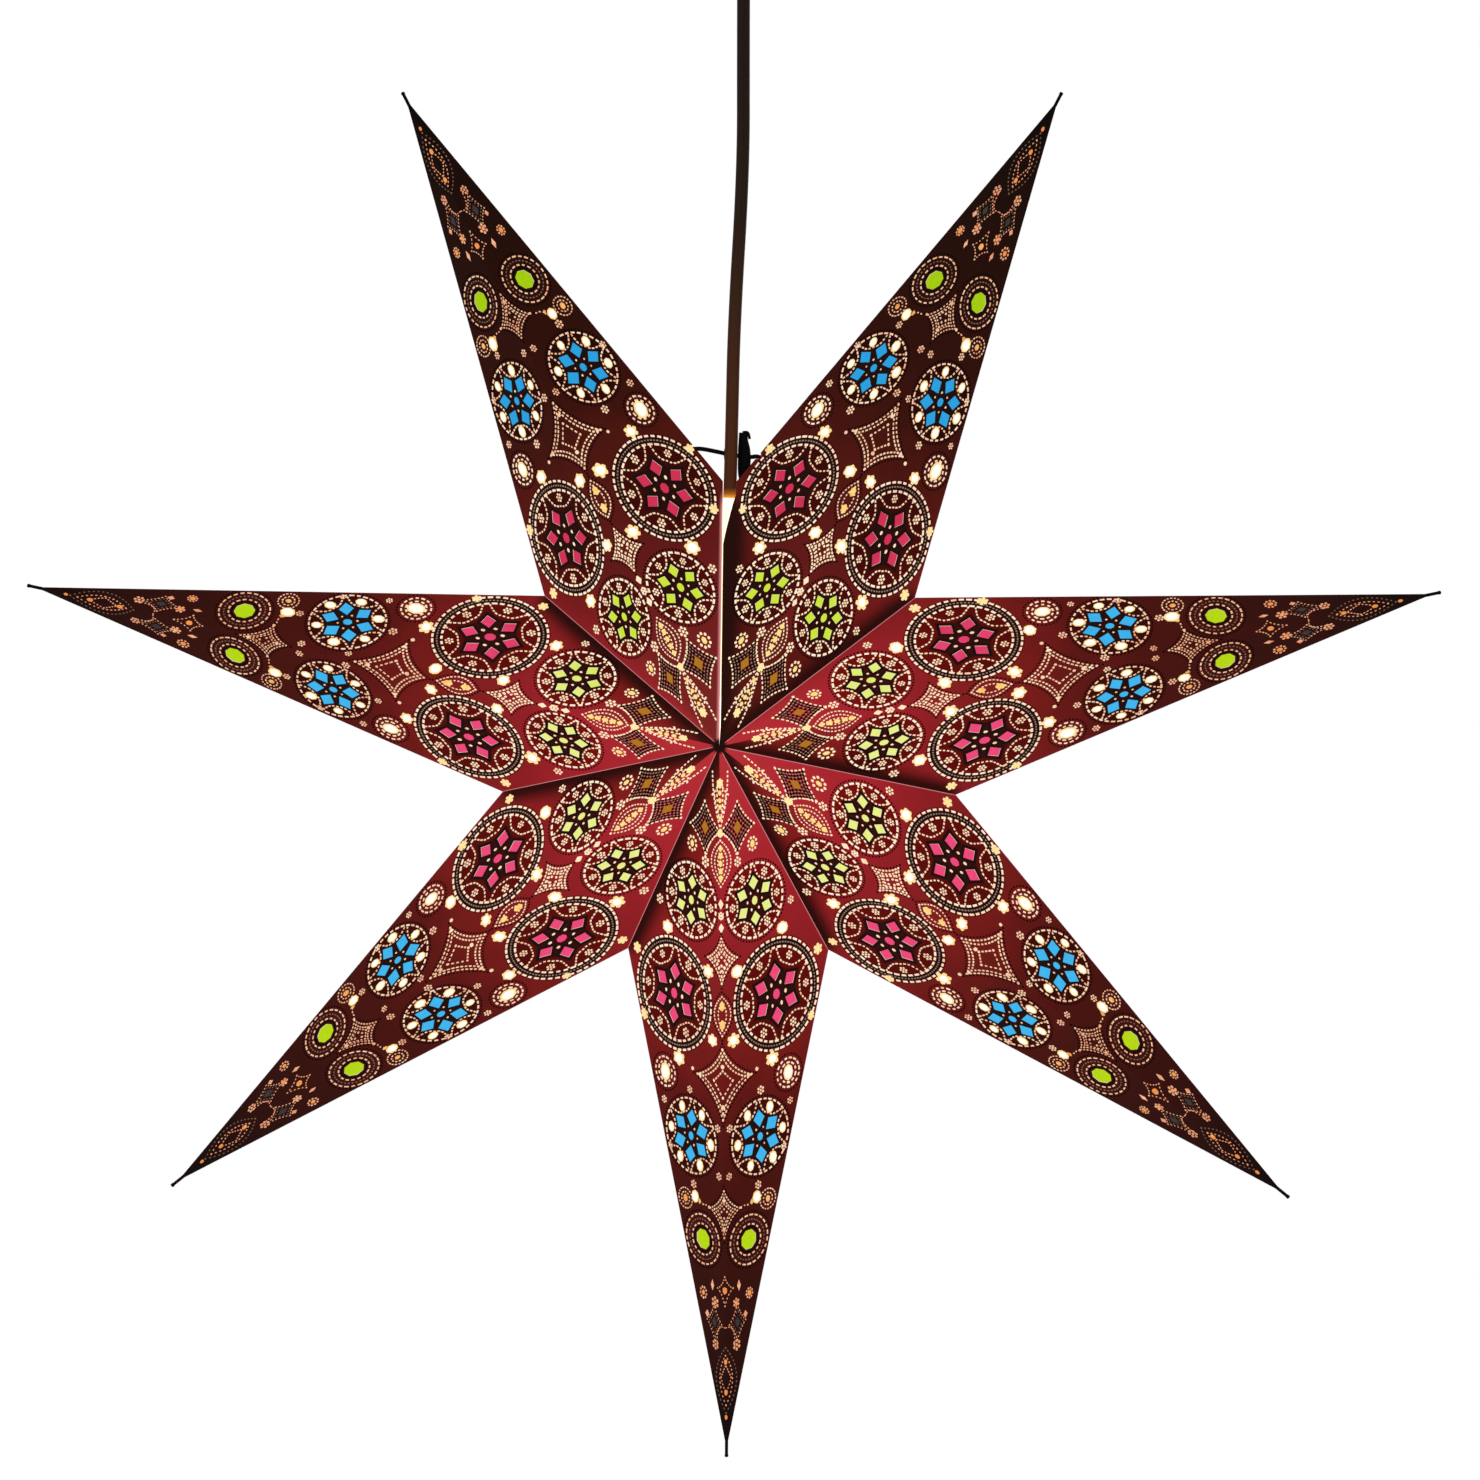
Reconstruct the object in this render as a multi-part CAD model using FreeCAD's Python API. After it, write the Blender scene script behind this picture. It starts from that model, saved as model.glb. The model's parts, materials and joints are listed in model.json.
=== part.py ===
import FreeCAD, Part
import math
import os

# A lantern in the form of a star, folded from seven sheets of pierced paper, with a lamp inside.
# Millimetres, Z up, front towards -Y. The origin is the middle of the ceiling base's top face.
# Each point is drawn upright: X across it, Y through its depth, Z out along it from the hub axis.

Vector = FreeCAD.Vector

# The star's outline
point_count = 7
paper_reach = 297.0           # hub axis to the place where one point's four folds meet
corner_radius = 97.0          # hub axis to the inner corner between two points
seam_corner_radius = 107.0    # the same beside the open seam, where the corners are only tied
half_depth = 65.0             # middle plane to the hub's apex, front and back
seam_angle = 3.1              # opening of the seam at the top, degrees
star_drop = 352.0             # ceiling to the star's centre
star_aside = -5.0             # the star's centre, left of the ceiling base

# The paper
paper_thickness = 0.35
fin_width = 10.0              # glued flap inside each valley
fin_stop = 4.0                # the flaps end this far from the hub axis
stub_radius = 0.75            # pinched tip
bead_radius = 0.95            # the drop of glue on its end
stub_length = 10.3
stub_reach = 3.5              # how far the pinched tip stands past the folds
hollow_stretch = 1.3          # the cutting shape for the inside goes this far past the hub

# The windows in each panel, from the hub outwards. A place is a share of the panel's ridge length
# and of its width there, so that it stays on the panel. Sizes are millimetres.
petal_count = 6
petal_turn = 4.0
rosettes = {
    "hub": {"along": 0.227, "across": 0.448, "ring": 7.7, "long": 6.4, "wide": 5.4},
    "middle": {"along": 0.368, "across": 0.539, "ring": 9.5, "long": 7.8, "wide": 6.4},
    "outer": {"along": 0.564, "across": 0.529, "ring": 8.0, "long": 6.4, "wide": 5.2},
}
oval = {"along": 0.707, "across": 0.526, "radius": 4.5, "sides": 8}

# The tissue behind the windows
tissue_thickness = 0.10
tissue_margin = 2.0
tissue_fin_gap = 1.0

# How many flat sides stand for a round one
holder_sides = 16
small_sides = 10
cup_sides = 24

# The lead and its moulded strain relief
lead_diameter = 5.4
relief_seat_depth = 7.0       # seam corner to the relief's upper end
relief_length = 28.0
relief_top_radius = 3.2
relief_base_radius = 4.8
relief_neck_radius = 4.0
relief_flange_radius = 6.4
relief_flange_height = 2.0

# The tie string across the seam
string_radius = 0.75
tie_left_height = 121.0
tie_right_height = 117.5
tie_hole_radius = 1.6
stopper_radius = 1.7
string_sides = 6
loop_gap = 0.15
wrap_turns = 2
wrap_sides = 10
lump_sides = 6
lump_ring = 0.55              # a knot's upper and lower corners, as a share of its half height
lump_pole = 0.85
knot_aside = 2.7
knot_size = (4.6, 3.0, 5.0)
tail_rise = 9.0
tail_fall = 10.5
tail_rise_aside = 1.6
tail_fall_aside = 0.6

# The lamp holder
holder_radius = 14.0
holder_wall = 1.8
cap_height = 16.0
cap_top_radius = 8.5
cap_slope = 9.0               # height of the cap's sloped shoulder, outside and inside
cap_inner_slope = 8.0
skirt_height = 38.0
core_height = 22.0
core_gap = 0.2
shell_radius = 7.4            # outside of the brass screw shell
shell_wall = 0.3
shell_height = 20.0
contact_radius = 2.2
contact_height = 3.0
terminal_radius = 1.8
terminal_height = 4.0
terminal_spacing = 15.0

# The bulb
bulb_cap_gap = 0.15
bulb_cap_length = 20.0
bulb_tip_height = 2.0
bulb_neck_radius = 9.0
bulb_neck_length = 8.0
bulb_shoulder = 1.5
globe_radius = 22.5
globe_rings = 7

# The ceiling fitting
base_radius = 27.0
base_height = 4.0
base_screw_spacing = 36.0
base_screw_radius = 2.2
base_wire_radius = 5.0
cup_gap = 0.3
cup_wall = 1.8
cup_height = 25.0
cup_top_gap = 1.0
cup_round = 7.0
cup_edge = 2.1                # the lower of the edge's two slopes, outside and inside
cup_inner_edge = 1.2
nipple_radius = 5.0
locknut_across = 15.0
locknut_height = 3.5
grip_radius = 7.5
grip_end_radius = 4.6
grip_height = 10.0
grip_straight = 4.0
nipple_spare = 1.0            # thread left below the locknut
terminal_block = (22.0, 14.0, 9.0)
terminal_block_aside = 8.0

# Lengths worked out from the ones above
pitch = (360.0 - seam_angle) / point_count
half_pitch = math.radians(pitch / 2.0)
star_centre = Vector(star_aside, 0.0, -star_drop)
lead_radius = lead_diameter / 2.0
relief_top = seam_corner_radius - relief_seat_depth
holder_top = relief_top - relief_length
skirt_top = holder_top - cap_height
skirt_bottom = skirt_top - skirt_height
cup_bottom = -(cup_top_gap + cup_height)
grip_bottom = cup_bottom - grip_height

# The lead's route from the relief up to the grip, measured from the star's centre. It hangs nearly
# straight, with the slight set of a lead that was packed coiled. The ends follow their seats.
route_between = [
    (0.0, 0.0, 130.0),
    (1.0, -1.4, 172.0),
    (5.3, -1.5, 236.0),
    (-star_aside, 0.0, 284.0),
]


def lead_route():
    start = star_centre + Vector(0.0, 0.0, relief_top)
    end = Vector(0.0, 0.0, grip_bottom)
    return [start] + [star_centre + Vector(*place) for place in route_between] + [end]


# Helpers for solids

def closed_face(points):
    return Part.Face(Part.makePolygon(points + [points[0]]))


def solid_of(faces):
    solid = Part.makeSolid(Part.makeShell(faces))
    if solid.Volume < 0:
        solid.reverse()
    return solid


def fused(shapes):
    return shapes[0].multiFuse(shapes[1:]).removeSplitter()


def turned(profile, sides, around=Vector(0, 0, 0)):
    """A solid about an upright axis from (radius, height) pairs, with flat sides in place of round
    ones. The corners lie outside the circle by as much as the sides lie inside it."""
    swell = 2.0 / (1.0 + math.cos(math.pi / sides))
    step = 2.0 * math.pi / sides
    faces = []
    for index in range(sides):
        for start, end in zip(profile, profile[1:] + profile[:1]):
            corners = []
            for (radius, height), turn in ((start, index), (end, index), (end, index + 1), (start, index + 1)):
                angle = step * (turn % sides)
                corner = Vector(radius * swell * math.cos(angle), radius * swell * math.sin(angle), height)
                if not corners or (corner - corners[-1]).Length > 1e-6:
                    corners.append(corner)
            if (corners[0] - corners[-1]).Length < 1e-6:
                corners.pop()
            if len(corners) > 2:
                faces.append(closed_face([around + corner for corner in corners]))
    return solid_of(faces)


def ring_points(middle, across, aside, sides):
    """Corners of a flat ring with straight sides. across and aside are its two half widths."""
    points = []
    for index in range(sides):
        turn = 2.0 * math.pi * (index + 0.5) / sides
        points.append(middle + across * math.cos(turn) + aside * math.sin(turn))
    return points


def square_to(direction):
    """Two unit vectors square to a direction and to each other."""
    helper = Vector(0, 1, 0) if abs(direction.y) < abs(direction.z) else Vector(0, 0, 1)
    across = direction.cross(helper)
    across.normalize()
    aside = direction.cross(across)
    aside.normalize()
    return across, aside


def rod(start, end, radius):
    along = end - start
    across, aside = square_to(along)
    return closed_face(ring_points(start, across * radius, aside * radius, string_sides)).extrude(along)


def lump(middle, size):
    """A rounded knot with flat facets: rings of corners between two poles."""
    wide, deep, high = size
    rings = []
    for lift in (-lump_ring, 0.0, lump_ring):
        share = math.sqrt(1.0 - lift ** 2)
        level = middle + Vector(0, 0, lift * high)
        rings.append(ring_points(level, Vector(wide * share, 0, 0), Vector(0, deep * share, 0), lump_sides))
    low = middle - Vector(0, 0, lump_pole * high)
    top = middle + Vector(0, 0, lump_pole * high)
    faces = []
    for index in range(lump_sides):
        after = (index + 1) % lump_sides
        faces.append(closed_face([low, rings[0][index], rings[0][after]]))
        faces.append(closed_face([top, rings[-1][index], rings[-1][after]]))
        for under, over in zip(rings, rings[1:]):
            faces.append(closed_face([under[index], under[after], over[after]]))
            faces.append(closed_face([under[index], over[after], over[index]]))
    return solid_of(faces)


def tube_along(route, radius):
    """Straight runs joined by tangent arcs, each as large as its two runs allow."""
    edges = []
    at = route[0]
    for before, corner, after in zip(route, route[1:], route[2:]):
        back = (before - corner)
        ahead = (after - corner)
        half_turn = (math.pi - back.getAngle(ahead)) / 2.0
        reach = 0.45 * min(back.Length, ahead.Length)
        bend = reach / math.tan(half_turn)
        back.normalize()
        ahead.normalize()
        arc_start = corner + back * reach
        arc_end = corner + ahead * reach
        inward = back + ahead
        inward.normalize()
        centre = corner + inward * (bend / math.cos(half_turn))
        middle = centre - inward * bend
        edges.append(Part.LineSegment(at, arc_start).toShape())
        edges.append(Part.Arc(arc_start, middle, arc_end).toShape())
        print("bend radius", round(bend, 1))
        at = arc_end
    edges.append(Part.LineSegment(at, route[-1]).toShape())
    path = Part.Wire(edges)
    circle = Part.Circle(route[0], route[1] - route[0], radius)
    tube = path.makePipeShell([Part.Wire(circle.toShape())], True, False)
    print("tube volume over section times length", round(tube.Volume / (math.pi * radius ** 2 * path.Length), 4))
    return tube


# One folded point, upright

def corner_at(side, radius):
    return Vector(side * radius * math.sin(half_pitch), 0.0, radius * math.cos(half_pitch))


def hub_at(face):
    return Vector(0.0, face * half_depth, 0.0)


tip = Vector(0.0, 0.0, paper_reach)


def panel_axes(face, side, corner):
    """The hub end of a panel's ridge, the directions along and across it, and its outward normal."""
    hub = hub_at(face)
    along = tip - hub
    along.normalize()
    to_corner = corner - hub
    across = to_corner - along * to_corner.dot(along)
    across.normalize()
    outward = along.cross(across) * (face * side)
    if outward.y * face < 0:
        outward = outward * -1.0
    return hub, along, across, outward


def five_sided(apex, hubs, corners):
    faces = []
    for hub in hubs:
        for corner in corners:
            faces.append(closed_face([hub, apex, corner]))
    for corner in corners:
        faces.append(closed_face([hubs[0], corner, hubs[1]]))
    return solid_of(faces)


def hollow_at(corners, depth):
    """Everything that lies deeper than depth under the four panels, open towards the hub."""
    normals = [panel_axes(-1, side, corners[side])[3] for side in (-1, 1)]
    left, right = normals
    spread = left.x * right.z - left.z * right.x
    apex = tip + Vector(depth * (left.z - right.z), 0.0, depth * (right.x - left.x)) * (1.0 / spread)
    hubs = [apex + (hub_at(face) - tip) * hollow_stretch for face in (-1, 1)]
    ends = [apex + (corners[side] - tip) * hollow_stretch for side in (-1, 1)]
    return five_sided(apex, hubs, ends)


def fin(side, radius):
    """The flap inside a valley, in the plane where two neighbouring points meet."""
    slope = math.atan2(half_depth, radius)
    rise = half_depth * (1.0 - fin_stop / radius)
    inner_rise = rise - fin_width / math.cos(slope)
    inner_corner = radius - fin_width / math.sin(slope)
    outline = [(fin_stop, -rise), (radius, 0.0), (fin_stop, rise)]
    outline += [(fin_stop, inner_rise), (inner_corner, 0.0), (fin_stop, -inner_rise)]
    across, along = side * math.sin(half_pitch), math.cos(half_pitch)
    points = [Vector(across * out, deep, along * out) for out, deep in outline]
    inward = Vector(-side * along, 0.0, math.sin(half_pitch)) * paper_thickness
    return closed_face(points).extrude(inward)


def panel_width(ridge_place, ridge_length, corner_along, corner_across):
    if ridge_place < corner_along:
        return corner_across * ridge_place / corner_along
    return corner_across * (ridge_length - ridge_place) / (ridge_length - corner_along)


def place_on_panel(face, side, corner, motif):
    """The middle of a motif on a panel, with the panel's two directions and normal."""
    hub, along, across, outward = panel_axes(face, side, corner)
    ridge_length = (tip - hub).Length
    to_corner = corner - hub
    ridge_place = motif["along"] * ridge_length
    width = panel_width(ridge_place, ridge_length, to_corner.dot(along), to_corner.dot(across))
    middle = hub + along * ridge_place + across * (motif["across"] * width)
    return middle, along, across, outward


def cutter(points, outward):
    """A prism that goes through the paper and a little past both faces."""
    past = paper_thickness
    raised = [point + outward * past for point in points]
    return closed_face(raised).extrude(outward * -(2.0 * past + paper_thickness))


def rosette_cutters(face, side, corner, motif):
    middle, along, across, outward = place_on_panel(face, side, corner, motif)
    cutters = []
    for index in range(petal_count):
        turn = math.radians(petal_turn + index * 360.0 / petal_count)
        out = along * math.cos(turn) + across * math.sin(turn)
        aside = across * math.cos(turn) - along * math.sin(turn)
        seat = middle + out * motif["ring"]
        far = out * (motif["long"] / 2.0)
        near = aside * (motif["wide"] / 2.0)
        cutters.append(cutter([seat - far, seat - near, seat + far, seat + near], outward))
    return cutters


def oval_cutter(face, side, corner):
    middle, along, across, outward = place_on_panel(face, side, corner, oval)
    points = []
    for index in range(oval["sides"]):
        turn = 2.0 * math.pi * (index + 0.5) / oval["sides"]
        points.append(middle + (along * math.cos(turn) + across * math.sin(turn)) * oval["radius"])
    return cutter(points, outward)


def folded_point(corners, glued_sides):
    shell = five_sided(tip, [hub_at(-1), hub_at(1)], [corners[-1], corners[1]])
    shell = shell.cut(hollow_at(corners, paper_thickness))
    stub_end = tip + Vector(0.0, 0.0, stub_reach - stub_radius)
    stub = rod(stub_end - Vector(0.0, 0.0, stub_length), stub_end, stub_radius)
    bead = lump(stub_end, (bead_radius, bead_radius, bead_radius))
    fins = [fin(side, corners[side].Length) for side in glued_sides]
    shell = fused([shell, stub, bead] + fins)
    cutters = []
    for face in (-1, 1):
        for side in (-1, 1):
            for motif in rosettes.values():
                cutters += rosette_cutters(face, side, corners[side], motif)
            cutters.append(oval_cutter(face, side, corners[side]))
    return shell.cut(Part.makeCompound(cutters))


# Tissue glued inside the paper, behind the windows

def tissue_span(corners, motif, reach):
    """The lowest and highest place of a band that covers one motif on all four panels."""
    places = [place_on_panel(-1, side, corners[side], motif)[0].z for side in (-1, 1)]
    return min(places) - reach - tissue_margin, max(places) + reach + tissue_margin


def between_fins():
    """The space between the two valleys' planes, clear of the flaps."""
    gap = paper_thickness + tissue_fin_gap
    start = gap / math.sin(half_pitch)
    far = paper_reach
    left = Vector(-far * math.sin(half_pitch), -half_depth, start + far * math.cos(half_pitch))
    right = Vector(far * math.sin(half_pitch), -half_depth, start + far * math.cos(half_pitch))
    wedge = closed_face([Vector(0.0, -half_depth, start), left, right])
    return wedge.extrude(Vector(0.0, 2.0 * half_depth, 0.0))


def tissue_band(corners, low, high):
    lining = hollow_at(corners, paper_thickness).cut(hollow_at(corners, paper_thickness + tissue_thickness))
    slab = Part.makeBox(2.0 * paper_reach, 2.0 * half_depth, high - low, Vector(-paper_reach, -half_depth, low))
    return lining.common(slab).common(between_fins())


def tissue_pieces(corners):
    """The separate pieces of tissue in one point, by name."""
    pieces = {}
    for name, motif in rosettes.items():
        low, high = tissue_span(corners, motif, motif["ring"] + motif["long"] / 2.0)
        band = tissue_band(corners, low, high)
        if len(band.Solids) == 1:
            pieces[name] = band.Solids[0]
        else:
            front, back = sorted(band.Solids, key=lambda solid: solid.CenterOfMass.y)
            pieces[name + "_front"] = front
            pieces[name + "_back"] = back
    low, high = tissue_span(corners, oval, oval["radius"])
    pieces["tip"] = tissue_band(corners, low, high).Solids[0]
    return pieces


# The tie string

def seam_fold_place(side, height):
    """The place on the seam-side fold of the point beside the seam, at a height above the centre."""
    half_seam = math.radians(seam_angle / 2.0)
    lean = half_seam + half_pitch
    corner = Vector(side * seam_corner_radius * math.sin(half_seam), 0.0, seam_corner_radius * math.cos(half_seam))
    end = Vector(side * paper_reach * math.sin(lean), 0.0, paper_reach * math.cos(lean))
    share = (height - corner.z) / (end.z - corner.z)
    return star_centre + corner + (end - corner) * share


def lead_at(height):
    """The lead's middle at a height, along the straight lines of its route."""
    route = lead_route()
    for low, high in zip(route, route[1:]):
        if low.z <= height <= high.z:
            return low + (high - low) * ((height - low.z) / (high.z - low.z))
    return route[0]


def tie_places():
    left = seam_fold_place(-1, tie_left_height)
    right = seam_fold_place(1, tie_right_height)
    middle_height = (left.z + right.z) / 2.0
    lead = lead_at(middle_height)
    behind = lead_radius + loop_gap + knot_size[1]
    return left, right, lead, lead + Vector(knot_aside, behind, 0.0)


def into_fold(side):
    """The direction square to the seam-side fold, into the point beside the seam."""
    low = seam_fold_place(side, tie_right_height)
    high = seam_fold_place(side, tie_left_height)
    fold = high - low
    inward = Vector(side * abs(fold.z), 0.0, -abs(fold.x))
    inward.normalize()
    return inward


def stopper_place(side, fold_place):
    """Inside the fold, where the stopper knot rests against both panels."""
    outward = panel_axes(-1, 1, corner_at(1, seam_corner_radius))[3]
    lean = math.sqrt(1.0 - outward.y ** 2)
    depth = (stopper_radius + paper_thickness + loop_gap) / lean
    return fold_place + into_fold(side) * depth


def wrap_around(lead):
    """The turns of string round the lead, as one band."""
    high = 2.0 * string_radius * wrap_turns
    foot = lead - Vector(0, 0, high / 2.0)
    inner = (lead_radius + loop_gap) / math.cos(math.pi / wrap_sides)
    outer = inner + 2.0 * string_radius
    band = []
    for radius in (outer, inner):
        points = ring_points(foot, Vector(radius, 0, 0), Vector(0, radius, 0), wrap_sides)
        band.append(closed_face(points).extrude(Vector(0, 0, high)))
    return band[0].cut(band[1])


def tie_string():
    left, right, lead, knot = tie_places()
    pieces = [lump(knot, knot_size), wrap_around(lead)]
    for side, fold_place in ((-1, left), (1, right)):
        stopper = stopper_place(side, fold_place)
        pieces.append(rod(knot, fold_place, string_radius))
        pieces.append(rod(fold_place - into_fold(side) * string_radius, stopper, string_radius))
        pieces.append(lump(stopper, (stopper_radius, stopper_radius, stopper_radius)))
    pieces.append(rod(knot, knot + Vector(tail_rise_aside, 0.0, tail_rise), string_radius))
    pieces.append(rod(knot, knot + Vector(tail_fall_aside, 0.0, -tail_fall), string_radius))
    return fused(pieces)


def tie_hole(side):
    left, right, lead, knot = tie_places()
    fold_place = left if side < 0 else right
    past = into_fold(side) * (3.0 * tie_hole_radius)
    return rod(fold_place - past, fold_place + past, tie_hole_radius)


# The star

def place_point(shape, index):
    lean = seam_angle / 2.0 + pitch * (index + 0.5)
    shape = shape.copy()
    shape.rotate(Vector(0, 0, 0), Vector(0, 1, 0), lean)
    shape.translate(star_centre)
    return shape


def star_parts():
    parts = {}
    plain = {side: corner_at(side, corner_radius) for side in (-1, 1)}
    after_seam = {-1: corner_at(-1, seam_corner_radius), 1: plain[1]}
    before_seam = {-1: plain[-1], 1: corner_at(1, seam_corner_radius)}
    kinds = {"plain": (plain, (-1, 1)), "after": (after_seam, (1,)), "before": (before_seam, (-1,))}
    papers = {name: folded_point(corners, glued) for name, (corners, glued) in kinds.items()}
    linings = {name: tissue_pieces(corners) for name, (corners, glued) in kinds.items()}
    for index in range(point_count):
        kind = "plain"
        if index == 0:
            kind = "after"
        if index == point_count - 1:
            kind = "before"
        paper = place_point(papers[kind], index)
        if kind == "after":
            paper = paper.cut(tie_hole(1))
        if kind == "before":
            paper = paper.cut(tie_hole(-1))
        parts["paper_point_%d" % (index + 1)] = paper
        for name, lining in linings[kind].items():
            parts["tissue_%s_%d" % (name, index + 1)] = place_point(lining, index)
    return parts


# The lamp, on the star's upright axis

def holder_cap():
    inner_top = cap_top_radius - holder_wall
    inner_radius = holder_radius - holder_wall
    under = holder_top - holder_wall
    bore = relief_neck_radius + core_gap
    profile = [(bore, holder_top), (cap_top_radius, holder_top)]
    profile += [(holder_radius, holder_top - cap_slope), (holder_radius, skirt_top)]
    profile += [(inner_radius, skirt_top), (inner_radius, under - cap_inner_slope)]
    profile += [(inner_top, under), (bore, under)]
    return turned(profile, holder_sides, star_centre)


def strain_relief():
    under_cap = holder_top - holder_wall
    flange_bottom = under_cap - relief_flange_height
    profile = [(0.0, relief_top), (relief_top_radius, relief_top), (relief_base_radius, holder_top)]
    profile += [(relief_neck_radius, holder_top), (relief_neck_radius, under_cap)]
    profile += [(relief_flange_radius, under_cap), (relief_flange_radius, flange_bottom), (0.0, flange_bottom)]
    return turned(profile, small_sides, star_centre)


def holder_skirt():
    inner_radius = holder_radius - holder_wall
    lip = inner_radius - holder_wall
    lip_top = skirt_bottom + holder_wall
    profile = [(inner_radius, skirt_top), (holder_radius, skirt_top), (holder_radius, skirt_bottom)]
    profile += [(lip, skirt_bottom), (lip, lip_top), (inner_radius, lip_top)]
    return turned(profile, holder_sides, star_centre)


def core_bottom():
    return skirt_top - core_height


def holder_core():
    """The insulating body: it carries the screw shell, the contact and the terminals."""
    outer = holder_radius - holder_wall - core_gap
    socket_top = skirt_top - contact_height - terminal_height
    profile = [(0.0, skirt_top), (outer, skirt_top), (outer, core_bottom())]
    profile += [(shell_radius, core_bottom()), (shell_radius, socket_top), (0.0, socket_top)]
    return turned(profile, holder_sides, star_centre)


def shell_top():
    return skirt_top - contact_height - terminal_height


def screw_shell():
    inner = shell_radius - shell_wall
    bottom = shell_top() - shell_height
    profile = [(inner, shell_top()), (shell_radius, shell_top()), (shell_radius, bottom), (inner, bottom)]
    return turned(profile, holder_sides, star_centre)


def centre_contact():
    bottom = shell_top() - contact_height
    profile = [(0.0, shell_top()), (contact_radius, shell_top()), (contact_radius, bottom), (0.0, bottom)]
    return turned(profile, small_sides, star_centre)


def holder_terminals():
    """Two screw terminals that stand on the core."""
    posts = []
    profile = [(0.0, terminal_height), (terminal_radius, terminal_height), (terminal_radius, 0.0), (0.0, 0.0)]
    for side in (-1, 1):
        foot = star_centre + Vector(side * terminal_spacing / 2.0, 0.0, skirt_top)
        posts.append(turned(profile, small_sides, foot))
    return Part.makeCompound(posts)


def bulb():
    """One sealed bulb: tip contact, screw cap, neck and globe."""
    tip_top = shell_top() - contact_height
    cap_radius = shell_radius - shell_wall - bulb_cap_gap
    cap_top = tip_top - bulb_tip_height
    cap_bottom = cap_top - bulb_cap_length
    neck_bottom = cap_bottom - bulb_neck_length
    reach = math.sqrt(globe_radius ** 2 - bulb_neck_radius ** 2)
    globe_middle = neck_bottom - reach
    profile = [(0.0, tip_top), (contact_radius, tip_top), (cap_radius, cap_top), (cap_radius, cap_bottom)]
    profile += [(bulb_neck_radius, cap_bottom - bulb_shoulder)]
    first = math.asin(bulb_neck_radius / globe_radius)
    for step in range(globe_rings + 1):
        turn = first + (math.pi - first) * step / globe_rings
        radius = globe_radius * math.sin(turn) if step < globe_rings else 0.0
        profile.append((radius, globe_middle + globe_radius * math.cos(turn)))
    return turned(profile, holder_sides, star_centre)


# The ceiling fitting

def screw_places():
    return [Vector(side * base_screw_spacing / 2.0, 0.0, 0.0) for side in (-1, 1)]


def ceiling_base():
    """A round plate with two screw holes and a middle hole for the supply wires."""
    low = -base_height
    profile = [(base_wire_radius, 0.0), (base_radius, 0.0), (base_radius, low), (base_wire_radius, low)]
    plate = turned(profile, cup_sides)
    holes = []
    for place in screw_places():
        foot = place - Vector(0, 0, base_height)
        holes.append(Part.makeCylinder(base_screw_radius, base_height, foot))
    return plate.cut(Part.makeCompound(holes))


def ceiling_cup():
    """A thin cup with a rounded lower edge, drawn as two short slopes."""
    inner = base_radius / math.cos(math.pi / cup_sides) + cup_gap
    outer = inner + cup_wall
    bore = nipple_radius + core_gap
    floor = cup_bottom + cup_wall
    top = -cup_top_gap
    profile = [(bore, cup_bottom), (outer - cup_round, cup_bottom), (outer - cup_edge, cup_bottom + cup_edge)]
    profile += [(outer, cup_bottom + cup_round), (outer, top), (inner, top), (inner, cup_bottom + cup_round)]
    profile += [(inner - cup_edge, floor + cup_inner_edge), (outer - cup_round, floor), (bore, floor)]
    return turned(profile, cup_sides)


def ceiling_grip():
    """The cord grip: a dome outside the cup and a threaded nipple that passes into it."""
    nipple_top = cup_bottom + cup_wall + locknut_height + nipple_spare
    profile = [(0.0, nipple_top), (nipple_radius, nipple_top), (nipple_radius, cup_bottom)]
    profile += [(grip_radius, cup_bottom), (grip_radius, cup_bottom - grip_straight)]
    profile += [(grip_end_radius, grip_bottom), (0.0, grip_bottom)]
    return turned(profile, small_sides)


def grip_locknut():
    radius = locknut_across / math.sqrt(3.0)
    foot = cup_bottom + cup_wall
    corners = []
    for index in range(6):
        turn = math.radians(60.0 * index)
        corners.append(Vector(radius * math.cos(turn), radius * math.sin(turn), foot))
    nut = closed_face(corners).extrude(Vector(0, 0, locknut_height))
    inside = nipple_radius + loop_gap
    bore = [(0.0, locknut_height), (inside, locknut_height), (inside, 0.0), (0.0, 0.0)]
    return nut.cut(turned(bore, small_sides, Vector(0, 0, foot)))


def ceiling_terminals():
    wide, deep, high = terminal_block
    return Part.makeBox(wide, deep, high, Vector(-wide / 2.0, terminal_block_aside, -base_height - high))


def lamp_parts():
    return {
        "lead": tube_along(lead_route(), lead_radius),
        "strain_relief": strain_relief(),
        "holder_cap": holder_cap(),
        "holder_skirt": holder_skirt(),
        "holder_core": holder_core(),
        "holder_terminals": holder_terminals(),
        "screw_shell": screw_shell(),
        "centre_contact": centre_contact(),
        "bulb": bulb(),
        "tie_string": tie_string(),
        "ceiling_base": ceiling_base(),
        "ceiling_cup": ceiling_cup(),
        "ceiling_grip": ceiling_grip(),
        "grip_locknut": grip_locknut(),
        "ceiling_terminals": ceiling_terminals(),
    }


def build():
    os.makedirs("parts", exist_ok=True)
    parts = star_parts()
    parts.update(lamp_parts())
    for name, shape in parts.items():
        shape.exportStep("parts/%s.step" % name)
        print(name, len(shape.Solids), "solid", shape.isValid(), round(shape.Volume, 1))
    print(len(parts), "nodes")


build()
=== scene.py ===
from functools import partial
import json
import math
import bmesh
import bpy
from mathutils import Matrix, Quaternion, Vector

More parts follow.
